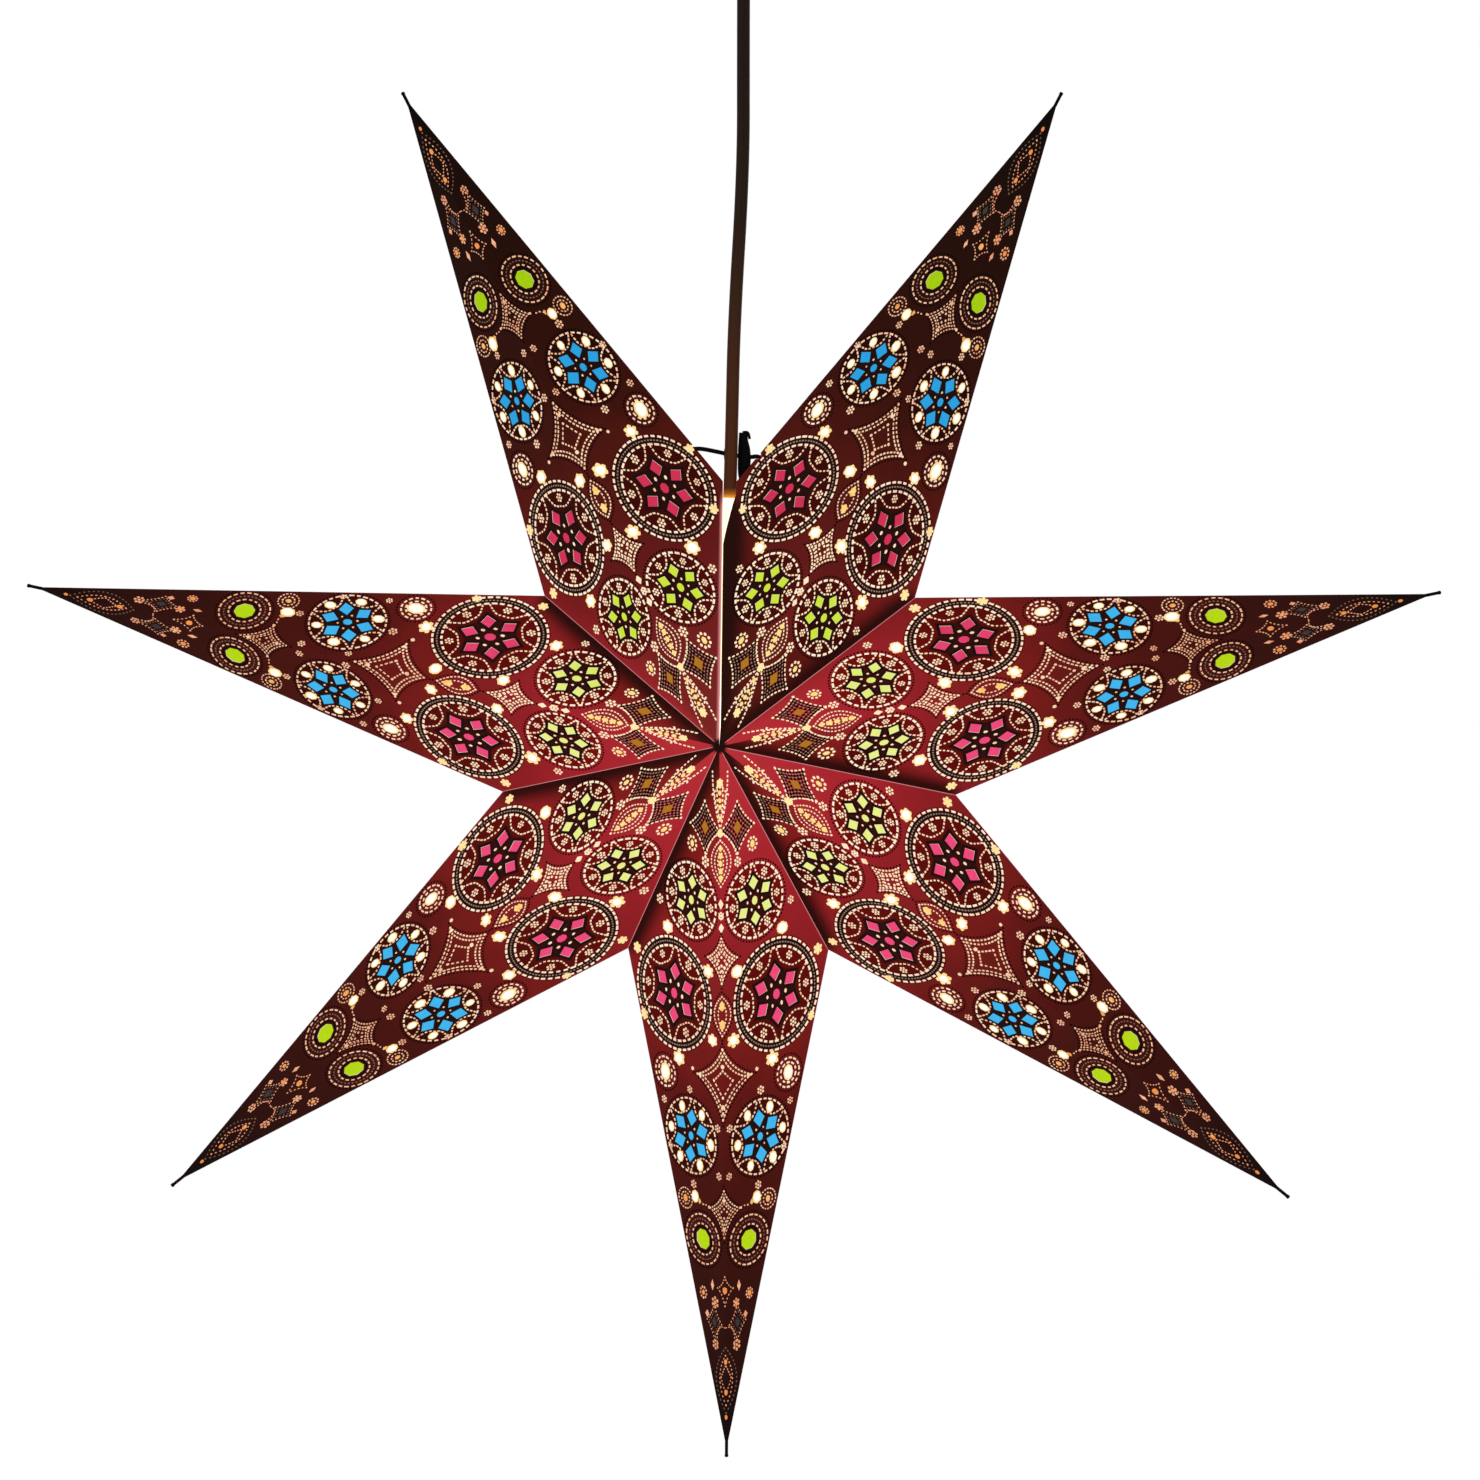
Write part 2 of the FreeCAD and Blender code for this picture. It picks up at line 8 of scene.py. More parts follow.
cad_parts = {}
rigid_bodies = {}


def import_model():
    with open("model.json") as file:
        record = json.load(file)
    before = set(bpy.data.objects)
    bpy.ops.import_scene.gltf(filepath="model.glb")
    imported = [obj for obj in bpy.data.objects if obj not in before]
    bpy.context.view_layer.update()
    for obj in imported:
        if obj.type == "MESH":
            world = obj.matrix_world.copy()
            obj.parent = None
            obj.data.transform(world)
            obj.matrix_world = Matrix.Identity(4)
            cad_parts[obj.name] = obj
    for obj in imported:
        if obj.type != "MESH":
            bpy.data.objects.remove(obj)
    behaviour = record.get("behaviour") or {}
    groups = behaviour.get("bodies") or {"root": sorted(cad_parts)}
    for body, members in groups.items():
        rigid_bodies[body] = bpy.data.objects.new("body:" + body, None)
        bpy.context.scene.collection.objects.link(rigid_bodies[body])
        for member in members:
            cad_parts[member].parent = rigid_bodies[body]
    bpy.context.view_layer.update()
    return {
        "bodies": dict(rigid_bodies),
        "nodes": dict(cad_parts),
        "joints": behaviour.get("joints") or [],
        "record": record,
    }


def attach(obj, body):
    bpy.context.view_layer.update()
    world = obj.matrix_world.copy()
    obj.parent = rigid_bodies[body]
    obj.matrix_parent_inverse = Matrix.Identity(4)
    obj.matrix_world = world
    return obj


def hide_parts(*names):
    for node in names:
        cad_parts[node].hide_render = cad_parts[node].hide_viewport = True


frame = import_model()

scene = bpy.context.scene
mm = 0.001

# The star as it was folded, in millimetres: the same sizes as its solids
star = {
    "points": 7,
    "reach": 297.0,          # hub axis to tip
    "halfDepth": 65.0,       # middle plane to the hub's apex
    "cornerRadius": 97.0,
    "seamCornerRadius": 107.0,
    "seamAngle": 3.1,        # degrees, open at the top
    "centre": Vector((-5.0, 0.0, -352.0)),
}
pitch = math.radians(360.0 - star["seamAngle"]) / star["points"]
halfSeam = math.radians(star["seamAngle"]) / 2.0
ridgeLength = math.hypot(star["halfDepth"], star["reach"])
body = list(frame["bodies"])[0]
print("stage: frame loaded,", len(frame["nodes"]), "nodes")


# Camera, as the photograph was taken

picture = {
    "width": 0.6149,         # metres across the picture at the star's middle plane
    "distance": 2.6,
    "azimuth": 3.34,
    "elevation": 2.77,
    "roll": 0.2,
    "right": 0.0046,         # the picture's middle, right of and above the star's
    "above": -0.0005,
    "sensor": 36.0,
}


def makeCamera():
    turn, lift = math.radians(picture["azimuth"]), math.radians(picture["elevation"])
    back = Vector((math.sin(turn) * math.cos(lift), -math.cos(turn) * math.cos(lift), math.sin(lift)))
    right = Vector((math.cos(turn), math.sin(turn), 0.0))
    middle = star["centre"] * mm + right * picture["right"] + Vector((0, 0, picture["above"]))
    data = bpy.data.cameras.new("camera")
    data.sensor_width = picture["sensor"]
    data.lens = picture["sensor"] * picture["distance"] / picture["width"]
    data.clip_end = 100.0
    camera = bpy.data.objects.new("camera", data)
    camera.location = middle + back * picture["distance"]
    roll = Quaternion((0.0, 0.0, 1.0), math.radians(picture["roll"]))
    camera.rotation_euler = (back.to_track_quat("Z", "Y") @ roll).to_euler()
    scene.collection.objects.link(camera)
    scene.camera = camera
    scene.view_settings.view_transform = "Standard"


makeCamera()


# Pieces and curves

# Puts a finished mesh or curve on the star, standing for a node of the solids where one is named.
def addPiece(name, data, node=None):
    piece = bpy.data.objects.new(name, data)
    scene.collection.objects.link(piece)
    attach(piece, body)
    if node:
        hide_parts(node)
    return piece


def closedMesh(name, verts, faces, material, sharp=None):
    mesh = bpy.data.meshes.new(name)
    mesh.from_pydata(verts, [], faces)
    shape = bmesh.new()
    shape.from_mesh(mesh)
    if sharp:
        bmesh.ops.remove_doubles(shape, verts=shape.verts, dist=1e-6)
    bmesh.ops.recalc_face_normals(shape, faces=shape.faces)
    for face in shape.faces:
        face.smooth = sharp is not None
    for edge in shape.edges:
        edge.smooth = not sharp or len(edge.link_faces) != 2 or edge.calc_face_angle(0.0) < sharp
    shape.to_mesh(mesh)
    shape.free()
    mesh.materials.append(material)
    return mesh


def newCurve(name, material, radius, resolution, roundness):
    curve = bpy.data.curves.new(name, "CURVE")
    curve.dimensions = "3D"
    curve.resolution_u = resolution
    curve.bevel_depth = radius
    curve.bevel_resolution = roundness
    curve.use_fill_caps = True
    curve.materials.append(material)
    return curve


# One smooth strand through places in millimetres, each with its share of the curve's radius.
def strand(curve, places):
    spline = curve.splines.new("NURBS")
    spline.points.add(len(places) - 1)
    for point, (place, radius) in zip(spline.points, places):
        point.co = (*(Vector(place) * mm), 1.0)
        point.radius = radius
    spline.order_u = 3
    spline.use_endpoint_u = True


# Shader helpers

# A colour as a screen shows it, 0 to 255, for a shader.
def tone(red, green, blue):
    shares = [value / 255.0 for value in (red, green, blue)]
    flat = [c / 12.92 if c <= 0.04045 else ((c + 0.055) / 1.055) ** 2.4 for c in shares]
    return (*flat, 1.0)


# Sets a socket to a plain value, or links it if the value is another socket.
def feed(socket, value):
    if isinstance(value, bpy.types.NodeSocket):
        socket.id_data.links.new(value, socket)
    else:
        socket.default_value = value


# A new node with its settings and its inputs, which are named, or given in their order.
def newNode(tree, kind, given=(), **settings):
    node = tree.nodes.new(kind)
    for name, value in settings.items():
        setattr(node, name, value)
    for key, value in given.items() if isinstance(given, dict) else enumerate(given):
        feed(node.inputs[key], value)
    return node


# The node tree that the first socket among the values belongs to.
def treeOf(*values):
    return next(value.id_data for value in values if isinstance(value, bpy.types.NodeSocket))


# One sum. Adding, multiplying and taking the largest work on any number of values.
def sums(operation, *values):
    if operation in ("ADD", "MULTIPLY", "MAXIMUM") and len(values) > 2:
        values = (sums(operation, *values[:-1]), values[-1])
    return newNode(treeOf(*values), "ShaderNodeMath", values, operation=operation).outputs[0]


plus, minus, times, over, largest, unsigned = [partial(sums, operation) for operation in (
    "ADD", "SUBTRACT", "MULTIPLY", "DIVIDE", "MAXIMUM", "ABSOLUTE")]


def distance(first, second):
    return sums("SQRT", plus(times(first, first), times(second, second)))


# Goes smoothly from low to high while value goes from start to end.
def fade(value, start, end, low=0.0, high=1.0):
    return newNode(value.id_data, "ShaderNodeMapRange", (value, start, end, low, high),
                   interpolation_type="SMOOTHSTEP").outputs[0]


def blend(share, first, second, kind="MIX"):
    return newNode(treeOf(share, first, second), "ShaderNodeMix", {0: share, 6: first, 7: second},
                   data_type="RGBA", blend_type=kind).outputs[2]


def tinted(colour, tint, share=1.0):
    return blend(share, colour, tint, "MULTIPLY")


def ramp(share, stops):
    node = newNode(share.id_data, "ShaderNodeValToRGB", [share])
    elements = node.color_ramp.elements
    while len(elements) < len(stops):
        elements.new(0.5)
    for element, (place, colour) in zip(elements, stops):
        element.position = place
        element.color = colour
    return node.outputs[0]


def noise(place, scale, detail=3.0, roughness=0.6):
    given = {"Vector": place, "Scale": scale, "Detail": detail, "Roughness": roughness}
    return newNode(place.id_data, "ShaderNodeTexNoise", given).outputs[0]


def split(vector):
    return newNode(vector.id_data, "ShaderNodeSeparateXYZ", [vector]).outputs


def bump(shader, height, distance, strength):
    given = {"Strength": strength, "Distance": distance, "Height": height}
    feed(shader["Normal"], newNode(height.id_data, "ShaderNodeBump", given).outputs[0])


def useGroup(tree, group, values):
    return newNode(tree, "ShaderNodeGroup", values, node_tree=group).outputs


# A node group. Each socket has a starting number, or the name of its kind.
def newGroup(name, kind, inputs, outputs):
    group = bpy.data.node_groups.new(name, kind)
    for side, sockets in (("INPUT", inputs), ("OUTPUT", outputs)):
        for label, value in sockets.items():
            given = {int: "Int", float: "Float"}.get(type(value), value)
            socket = group.interface.new_socket(label, in_out=side, socket_type="NodeSocket" + given)
            if given != value:
                socket.default_value = value
    given, result = group.nodes.new("NodeGroupInput"), group.nodes.new("NodeGroupOutput")
    return group, given.outputs, result.inputs


# A material, its tree, its shader's inputs, and the place on the star that is being shaded.
def newMaterial(name, roughness, specular):
    material = bpy.data.materials.new(name)
    material.use_nodes = True
    tree = material.node_tree
    shader = tree.nodes["Principled BSDF"].inputs
    feed(shader["Roughness"], roughness)
    feed(shader["Specular IOR Level"], specular)
    return material, tree, shader, tree.nodes.new("ShaderNodeTexCoord").outputs["Object"]


# Gives a surface light of its own, which is seen but lights nothing else.
def glowing(material, shader, colour):
    feed(shader["Emission Color"], colour)
    feed(shader["Emission Strength"], 1.0)
    material.cycles.emission_sampling = "NONE"


grainNoise = {"Fibre": (900.0, 4.0, 0.7), "Cloud": (60.0, 2.0)}      # scale, detail and roughness


# Fine fibres and a slow cloudiness, as cheap card has.
def paperGrainGroup():
    outputs = dict.fromkeys(grainNoise, "Float")
    group, given, result = newGroup("paperGrain", "ShaderNodeTree", {"Place": "Vector"}, outputs)
    for name, form in grainNoise.items():
        feed(result[name], noise(given["Place"], *form))
    return group


# Directions along and across a panel and outward from it, for a point that stands upright:
# x to its side, y from the middle plane out to the panel's face, z out along the point.
# Then the corner's place along the ridge and its distance from it.
def panelAxes(cornerRadius):
    depth = star["halfDepth"]
    along = Vector((0.0, -depth, star["reach"])) / ridgeLength
    toCorner = Vector((cornerRadius * math.sin(pitch / 2), -depth, cornerRadius * math.cos(pitch / 2)))
    cornerAlong = toCorner.dot(along)
    across = toCorner - along * cornerAlong
    cornerAcross = across.length
    across.normalize()
    outward = along.cross(across)
    if outward.y < 0:
        outward.negate()
    return along, across, outward, cornerAlong, cornerAcross


# Where a place on the star lies on its panel: millimetres along and across, height over the
# outer face, distance to the valley and to the hub's axis, how high on the star, which side
# of the ridge, and whether the panel is beside the open seam.
def panelPlaceGroup():
    names = ("Along", "Across", "Depth", "Shaded", "Seam", "Reach", "To Valley", "High")
    outputs = dict.fromkeys(names, "Float")
    group, given, result = newGroup("panelPlace", "ShaderNodeTree", {"Place": "Vector"}, outputs)
    shift = newNode(group, "ShaderNodeVectorMath", (given["Place"], [1 / mm] * 3, -star["centre"]),
                    operation="MULTIPLY_ADD")
    x, y, z = split(shift.outputs[0])
    angle = sums("ARCTAN2", x, z)
    reach = distance(x, z)
    turned = sums("FLOORED_MODULO", minus(angle, halfSeam), 2 * math.pi)
    local = minus(sums("FLOORED_MODULO", turned, pitch), pitch / 2)
    aside = unsigned(times(reach, sums("SINE", local)))
    out = times(reach, sums("COSINE", local))
    back = minus(unsigned(y), star["halfDepth"])
    seam = sums("LESS_THAN", unsigned(angle), pitch / 2 + halfSeam)

    def dotted(direction):
        first = sums("MULTIPLY_ADD", back, direction.y, times(aside, direction.x))
        return sums("MULTIPLY_ADD", out, direction.z, first)

    along, across, outward, *corner = panelAxes(star["cornerRadius"])
    seamOutward, *seamCorner = panelAxes(star["seamCornerRadius"])[2:]
    place, width, deep, seamDeep = [dotted(axis) for axis in (along, across, outward, seamOutward)]
    slope, seamSlope = corner[1] / corner[0], seamCorner[1] / seamCorner[0]
    slope = sums("MULTIPLY_ADD", seam, seamSlope - slope, slope)
    clockwise = sums("GREATER_THAN", local, 0.0)
    found = {
        "Along": place,
        "Across": width,
        "Depth": sums("MULTIPLY_ADD", minus(seamDeep, deep), seam, deep),
        "Shaded": unsigned(minus(clockwise, seam)),
        "Seam": seam,
        "Reach": reach,
        "To Valley": minus(times(place, slope), width),
        "High": over(z, plus(reach, 0.01)),
    }
    for name, value in found.items():
        feed(result[name], value)
    return group


paperGrain = paperGrainGroup()
panelPlace = panelPlaceGroup()


def grainAndPanel(tree, place):
    return [useGroup(tree, group, [place]) for group in (paperGrain, panelPlace)]


# The windows' places, as shares of the ridge and of the panel's width there, as in the solids
windows = {
    "hub": {"along": 0.227, "across": 0.448, "ring": 7.7, "long": 6.4, "wide": 5.4, "edge": 16.6},
    "middle": {"along": 0.368, "across": 0.539, "ring": 9.5, "long": 7.8, "wide": 6.4, "edge": 25.0,
               "band": 22.1},
    "outer": {"along": 0.564, "across": 0.529, "ring": 8.0, "long": 6.4, "wide": 5.2, "edge": 17.0},
    "tip": {"along": 0.707, "across": 0.526},
}
rosettes = ("hub", "middle", "outer")
petals = {"count": 6, "turn": math.radians(4.0)}
printEdges = {"rhomb": (1.66, 1.5), "band": (1.45, 1.15), "field": (0.4, -0.4), "heart": (2.4, 0.6)}


def panelWidth(alongPlace, cornerAlong, cornerAcross):
    if alongPlace < cornerAlong:
        return cornerAcross * alongPlace / cornerAlong
    return cornerAcross * (ridgeLength - alongPlace) / (ridgeLength - cornerAlong)


def windowPlace(window, cornerRadius=star["cornerRadius"]):
    place = window["along"] * ridgeLength
    return place, window["across"] * panelWidth(place, *panelAxes(cornerRadius)[3:])


# The print round one rosette: a round field, dark frames round its windows and dark spokes.
def rosettePrintGroup():
    names = ("Along", "Across", "Seam", "Centre Along", "Centre Across", "Seam Shift",
             "Ring", "Half Long", "Half Wide", "Edge", "Band")
    group, given, result = newGroup("rosettePrint", "ShaderNodeTree", dict.fromkeys(names, "Float"),
                                    {"Field": "Float", "Frames": "Float", "Heart": "Float"})
    shift = times(given["Seam"], given["Seam Shift"])
    u = minus(given["Along"], given["Centre Along"])
    v = minus(minus(given["Across"], given["Centre Across"]), shift)
    far = distance(u, v)
    share = 2 * math.pi / petals["count"]
    angle = minus(sums("ARCTAN2", v, u), petals["turn"] - share / 2)
    fold = minus(sums("FLOORED_MODULO", angle, share), share / 2)
    along = unsigned(minus(times(far, sums("COSINE", fold)), given["Ring"]))
    aside = unsigned(times(far, sums("SINE", fold)))
    rhomb = plus(over(along, given["Half Long"]), over(aside, given["Half Wide"]))
    fromBand = unsigned(minus(far, given["Band"]))
    fromEdge, fromRing = minus(far, given["Edge"]), minus(far, given["Ring"])
    frame, band, field, heart = [fade(value, *ends) for value, ends in zip(
        (rhomb, fromBand, fromEdge, fromRing), printEdges.values())]
    feed(result["Frames"], largest(frame, band))
    feed(result["Field"], field)
    feed(result["Heart"], heart)
    return group


rosettePrint = rosettePrintGroup()
noBand = -9.0            # a band's radius where a rosette has none


def printRosette(tree, at, window):
    centreAlong, centreAcross = windowPlace(window)
    seamAcross = windowPlace(window, star["seamCornerRadius"])[1]
    return useGroup(tree, rosettePrint, (
        at["Along"], at["Across"], at["Seam"], centreAlong, centreAcross, seamAcross - centreAcross,
        window["ring"], window["long"] / 2, window["wide"] / 2, window["edge"], window.get("band", noBand)))


# The paper: crimson where the lamp is near, darker outwards, with print fields and shaded valleys

paper = {
    "base": tone(26, 7, 6),
    "baseEnd": tone(9, 4, 3),
    "glow": [(0.0, tone(182, 46, 54)), (0.1, tone(174, 40, 49)), (0.2, tone(160, 33, 42)),
             (0.28, tone(142, 29, 35)), (0.36, tone(126, 26, 28)), (0.44, tone(112, 23, 21)),
             (0.52, tone(86, 18, 15)), (0.62, tone(68, 15, 10)), (0.74, tone(52, 13, 8)),
             (0.86, tone(38, 10, 7)), (0.95, tone(20, 6, 5)), (1.0, tone(7, 3, 3))],
    "cloudiness": 0.10,
    "upperTint": (0.40, 0.66, 0.42, 1.0),       # the two points at the top are dimmer
    "upperHeights": (0.45, 0.85),
    "shadedTint": (0.50, 0.52, 0.30, 1.0),      # so is each point's panel on its clockwise side
    "shadedWidths": (44.0, 10.0),               # from the valley, where it starts and is full
    "shadedEnds": (4.0, -45.0),                 # along the ridge, from the corner
    "fieldTint": tone(178, 118, 96),
    "frame": tone(20, 9, 7),
    "heartShare": 0.8,
    # painted shadow of the flaps along the valley
    "valley": tone(22, 7, 5),
    "valleyShadeWidths": (13.0, 1.5),
    "valleyEnds": (6.0, -4.0),
    "valleyShadeShare": 0.94,
    # painted highlight along the lit panel's fold, over pale paper at the crease
    "fold": tone(234, 156, 158),
    "foldHighlightWidth": 0.6,
    "seamFoldHighlightWidth": 2.2,
    "foldHighlightShare": 0.85,
    "hubSpot": (4.0, 2.0),
    # painted light: the inside faces glow warm white where the lamp lights them
    "inside": tone(255, 226, 204),
    "litInsideDepths": (-0.12, -0.24),
    "fibre": (0.25, 0.75, 0.7, 1.2),
    "bump": (0.0002, 0.4),
}


def paperMaterial():
    # Painted light: the colour built here is the paper's own glow, standing in for the lamp's light coming
    # through it
    material, tree, shader, place = newMaterial("printedPaperPaintedLight", 0.7, 0.02)
    grain, at = grainAndPanel(tree, place)
    share = over(at["Along"], ridgeLength)
    cloudy = sums("MULTIPLY_ADD", minus(grain["Cloud"], 0.5), paper["cloudiness"], share)
    colour = ramp(cloudy, paper["glow"])
    prints = [printRosette(tree, at, windows[name]) for name in rosettes]
    field, frames, heart = [largest(*[made[name] for made in prints])
                            for name in ("Field", "Frames", "Heart")]
    colour = tinted(colour, paper["fieldTint"], field)
    colour = tinted(colour, paper["upperTint"], fade(at["High"], *paper["upperHeights"]))

    # Painted shade: the clockwise panel is painted darker beside its valley, where the flaps inside double
    # the paper and hold back the lamp's light
    corner = panelAxes(star["cornerRadius"])[3]
    beforeCorner = fade(at["Along"], *[corner + step for step in paper["valleyEnds"]])
    nearHub = fade(at["Along"], *[corner + step for step in paper["shadedEnds"]])
    broad = times(nearHub, at["Shaded"], fade(at["To Valley"], *paper["shadedWidths"]))
    colour = tinted(colour, paper["shadedTint"], broad)
    band = fade(at["To Valley"], *paper["valleyShadeWidths"])
    band = times(band, beforeCorner, at["Shaded"], paper["valleyShadeShare"])
    colour = blend(band, colour, paper["valley"])
    web = largest(frames, times(heart, paper["heartShare"]))
    colour = blend(web, colour, paper["frame"])

    # Painted highlight: the other, lit panel's edge is painted pale at the fold, over the pale paper that
    # shows at the crease, and broader beside the open seam, where the lamp's light spills out
    wider = paper["seamFoldHighlightWidth"] - paper["foldHighlightWidth"]
    edge = fade(at["To Valley"], sums("MULTIPLY_ADD", at["Seam"], wider, paper["foldHighlightWidth"]), 0.0)
    lit = minus(1.0, at["Shaded"])
    colour = blend(times(edge, beforeCorner, lit, paper["foldHighlightShare"]), colour, paper["fold"])
    colour = blend(fade(at["Reach"], *paper["hubSpot"]), colour, paper["frame"])
    # Painted light: the inside faces, seen through the seam, glow warm white from the lamp
    colour = blend(fade(at["Depth"], *paper["litInsideDepths"]), colour, paper["inside"])
    glowing(material, shader, colour)
    fibre = fade(grain["Fibre"], *paper["fibre"])
    # Painted shade: the base colour, too, darkens towards the tips, away from the lamp
    base = blend(share, paper["base"], paper["baseEnd"])
    feed(shader["Base Color"], tinted(base, fibre))
    bump(shader, grain["Fibre"], *paper["bump"])
    return material


# Tissue: lit through, with fine fibres

tissueTones = {          # on the lower points, then dimmer on the two upper ones: painted shade
    "hub": (tone(236, 240, 138), tone(206, 228, 60)),
    "middle": (tone(238, 74, 122), tone(206, 50, 84)),
    "outer": (tone(66, 182, 238), tone(44, 160, 222)),
    "tip": (tone(182, 216, 22), tone(164, 204, 16)),
}
tissue = {
    "cloudiness": 0.8,
    "heights": (0.1, 0.85),
    "fibre": (0.2, 0.8, 0.88, 1.06),
    "base": tone(48, 48, 48),
}


def tissueMaterial(name):
    material, tree, shader, place = newMaterial("lit_tissue_" + name, 0.75, 0.02)
    grain, at = grainAndPanel(tree, place)
    # Painted shade: the tissue is blended to its dimmer tones higher on the star
    high = sums("MULTIPLY_ADD", minus(grain["Cloud"], 0.5), tissue["cloudiness"], at["High"])
    colour = blend(fade(high, *tissue["heights"]), *tissueTones[name])
    fibre = fade(grain["Fibre"], *tissue["fibre"])
    glowing(material, shader, tinted(colour, fibre))
    feed(shader["Base Color"], tinted(colour, tissue["base"]))
    return material


# Moulded plastic, ceramic, brass and steel: a colour with faint mottling and a fine bump, and a painted
# glow for a part that the lamp lights

plain = {
    "cloudScale": 60.0,
    "mottling": (0.3, 0.7, 0.88, 1.0),
    "polishCloud": (0.2, 0.8),
    "polish": (0.85, 1.15),
    "fineScale": 1800.0,
    "bump": (0.00006, 0.3),
}


def plainMaterial(name, colour, roughness, specular=0.5, metallic=0.0, glow=None):
    material, tree, shader, place = newMaterial(name, roughness, specular)
    cloud = noise(place, plain["cloudScale"])
    shade = fade(cloud, *plain["mottling"])
    feed(shader["Base Color"], tinted(colour, shade))
    feed(shader["Metallic"], metallic)
    smooth, rough = [min(1.0, roughness * share) for share in plain["polish"]]
    feed(shader["Roughness"], fade(cloud, *plain["polishCloud"], smooth, rough))
    bump(shader, noise(place, plain["fineScale"]), *plain["bump"])
    # Painted light: a part that the lamp lights is given a glow of its own
    if glow:
        glowing(material, shader, tinted(glow, shade))
    return material


def dress(material, *names):
    for name in names:
        for slot in frame["nodes"][name].material_slots:
            slot.material = material


def dressNodes():
    dress(paperMaterial(), *["paper_point_%d" % (index + 1) for index in range(star["points"])])
    for kind in tissueTones:
        pieces = [name for name in frame["nodes"] if name.startswith("tissue_" + kind)]
        dress(tissueMaterial(kind), *pieces)
    ivory = tone(238, 234, 224)
    # Painted light: the strain relief, the holder and its core glow warm white, as the bulb lights them
    dress(plainMaterial("reliefPlasticPaintedGlow", ivory, 0.45, glow=tone(255, 240, 205)), "strain_relief")
    dress(plainMaterial("holderPlasticPaintedGlow", ivory, 0.35, glow=tone(255, 240, 214)),
          "holder_cap", "holder_skirt")
    dress(plainMaterial("coreCeramicPaintedGlow", tone(240, 236, 226), 0.3, glow=tone(255, 236, 200)), "holder_core")
    dress(plainMaterial("brass", tone(214, 170, 84), 0.28, metallic=1.0),
          "holder_terminals", "screw_shell", "centre_contact")
    dress(plainMaterial("litGlass", tone(250, 240, 220), 0.2, glow=tone(255, 250, 236)), "bulb")
    dress(whitePlastic, "ceiling_base", "ceiling_cup", "ceiling_grip")
    dress(plainMaterial("steel", tone(176, 178, 182), 0.3, metallic=1.0), "grip_locknut")
    dress(plainMaterial("terminalPlastic", tone(214, 208, 192), 0.5), "ceiling_terminals")
    dress(blackString, "tie_string")


# The ceiling cup and the cord grip, turned smooth, in millimetres

ceiling = {
    "radius": 29.2,
    "inner": 27.5,
    "bore": 5.2,
    "top": -1.0,
    "bottom": -26.0,
    "floor": -24.2,
    "round": 7.0,
    "nipple": 5.0,
    "nippleTop": -19.7,
    "grip": 7.5,
    "gripEnd": 4.6,
    "gripRim": -30.0,
    "gripBottom": -36.0,
    "sides": 64,
    "sharp": 0.6,            # radians between two faces that stay a crisp edge
}


# A quarter of an oval from the turn given, in degrees, as (radius, height) pairs.
def quarter(middle, out, up, start, corners=6):
    turns = [math.radians(start + 90.0 * index / corners) for index in range(corners + 1)]
    return [(middle[0] + out * math.cos(turn), middle[1] + up * math.sin(turn)) for turn in turns]


def turnedPiece(name, profile, node):
    verts, faces = [], []
    sides = ceiling["sides"]
    for radius, height in profile:
        for index in range(sides):
            turn = 2 * math.pi * index / sides
            verts.append((radius * math.cos(turn) * mm, radius * math.sin(turn) * mm, height * mm))
    for row in range(len(profile)):
        here, there = row * sides, (row + 1) % len(profile) * sides
        for index in range(sides):
            after = (index + 1) % sides
            faces.append((here + index, here + after, there + after, there + index))
    mesh = closedMesh(name, verts, faces, whitePlastic, ceiling["sharp"])
    addPiece(name, mesh, node)


def makeCeiling():
    c = ceiling
    thin = c["round"] - (c["radius"] - c["inner"])
    outer = quarter((c["radius"] - c["round"], c["bottom"] + c["round"]), c["round"], c["round"], 270.0)
    inner = quarter((c["inner"] - thin, c["floor"] + thin), thin, thin, 270.0)[::-1]
    cup = [(c["bore"], c["bottom"])] + outer + [(c["radius"], c["top"]), (c["inner"], c["top"])]
    turnedPiece("turned_cup", cup + inner + [(c["bore"], c["floor"])], "ceiling_cup")
    drop = c["gripRim"] - c["gripBottom"]
    dome = quarter((c["gripEnd"], c["gripRim"]), c["grip"] - c["gripEnd"], -drop, 0.0)
    grip = [(0.0, c["nippleTop"]), (c["nipple"], c["nippleTop"]), (c["nipple"], c["bottom"]),
            (c["grip"], c["bottom"])]
    turnedPiece("turned_grip", grip + dome + [(0.0, c["gripBottom"])], "ceiling_grip")


# The lead, on its route from the strain relief up to the cord grip

lead = {
    "diameter": 0.0054,      # metres, as the exit and the length are
    "exit": (-0.005, 0.0, -0.252),
    "length": 0.2162,
    "route": [               # millimetres
        (-5.0, 0.0, -252.0), (-4.2, -0.3, -222.0), (-3.4, -1.4, -180.0),
        (0.3, -1.5, -116.0), (0.0, 0.0, -68.0), (0.0, 0.0, -36.0)],
    # painted light: lighter brown at the lower end, which the bulb lights
    "tones": [(0.0, tone(74, 38, 19)), (0.3, tone(56, 31, 17)), (0.6, tone(34, 20, 11)),
              (1.0, tone(26, 15, 9))],
    "tonesFrom": (-0.252, -0.05),
    # painted light: an amber glow at the lower end, where the bulb's light falls
    "glow": [(0.0, tone(236, 160, 40)), (0.4, tone(150, 82, 12)), (1.0, tone(6, 3, 2))],
    "glowFrom": (-0.2525, -0.2475),
    "weaveScale": 1500.0,
    "bump": (0.00008, 0.4),
}


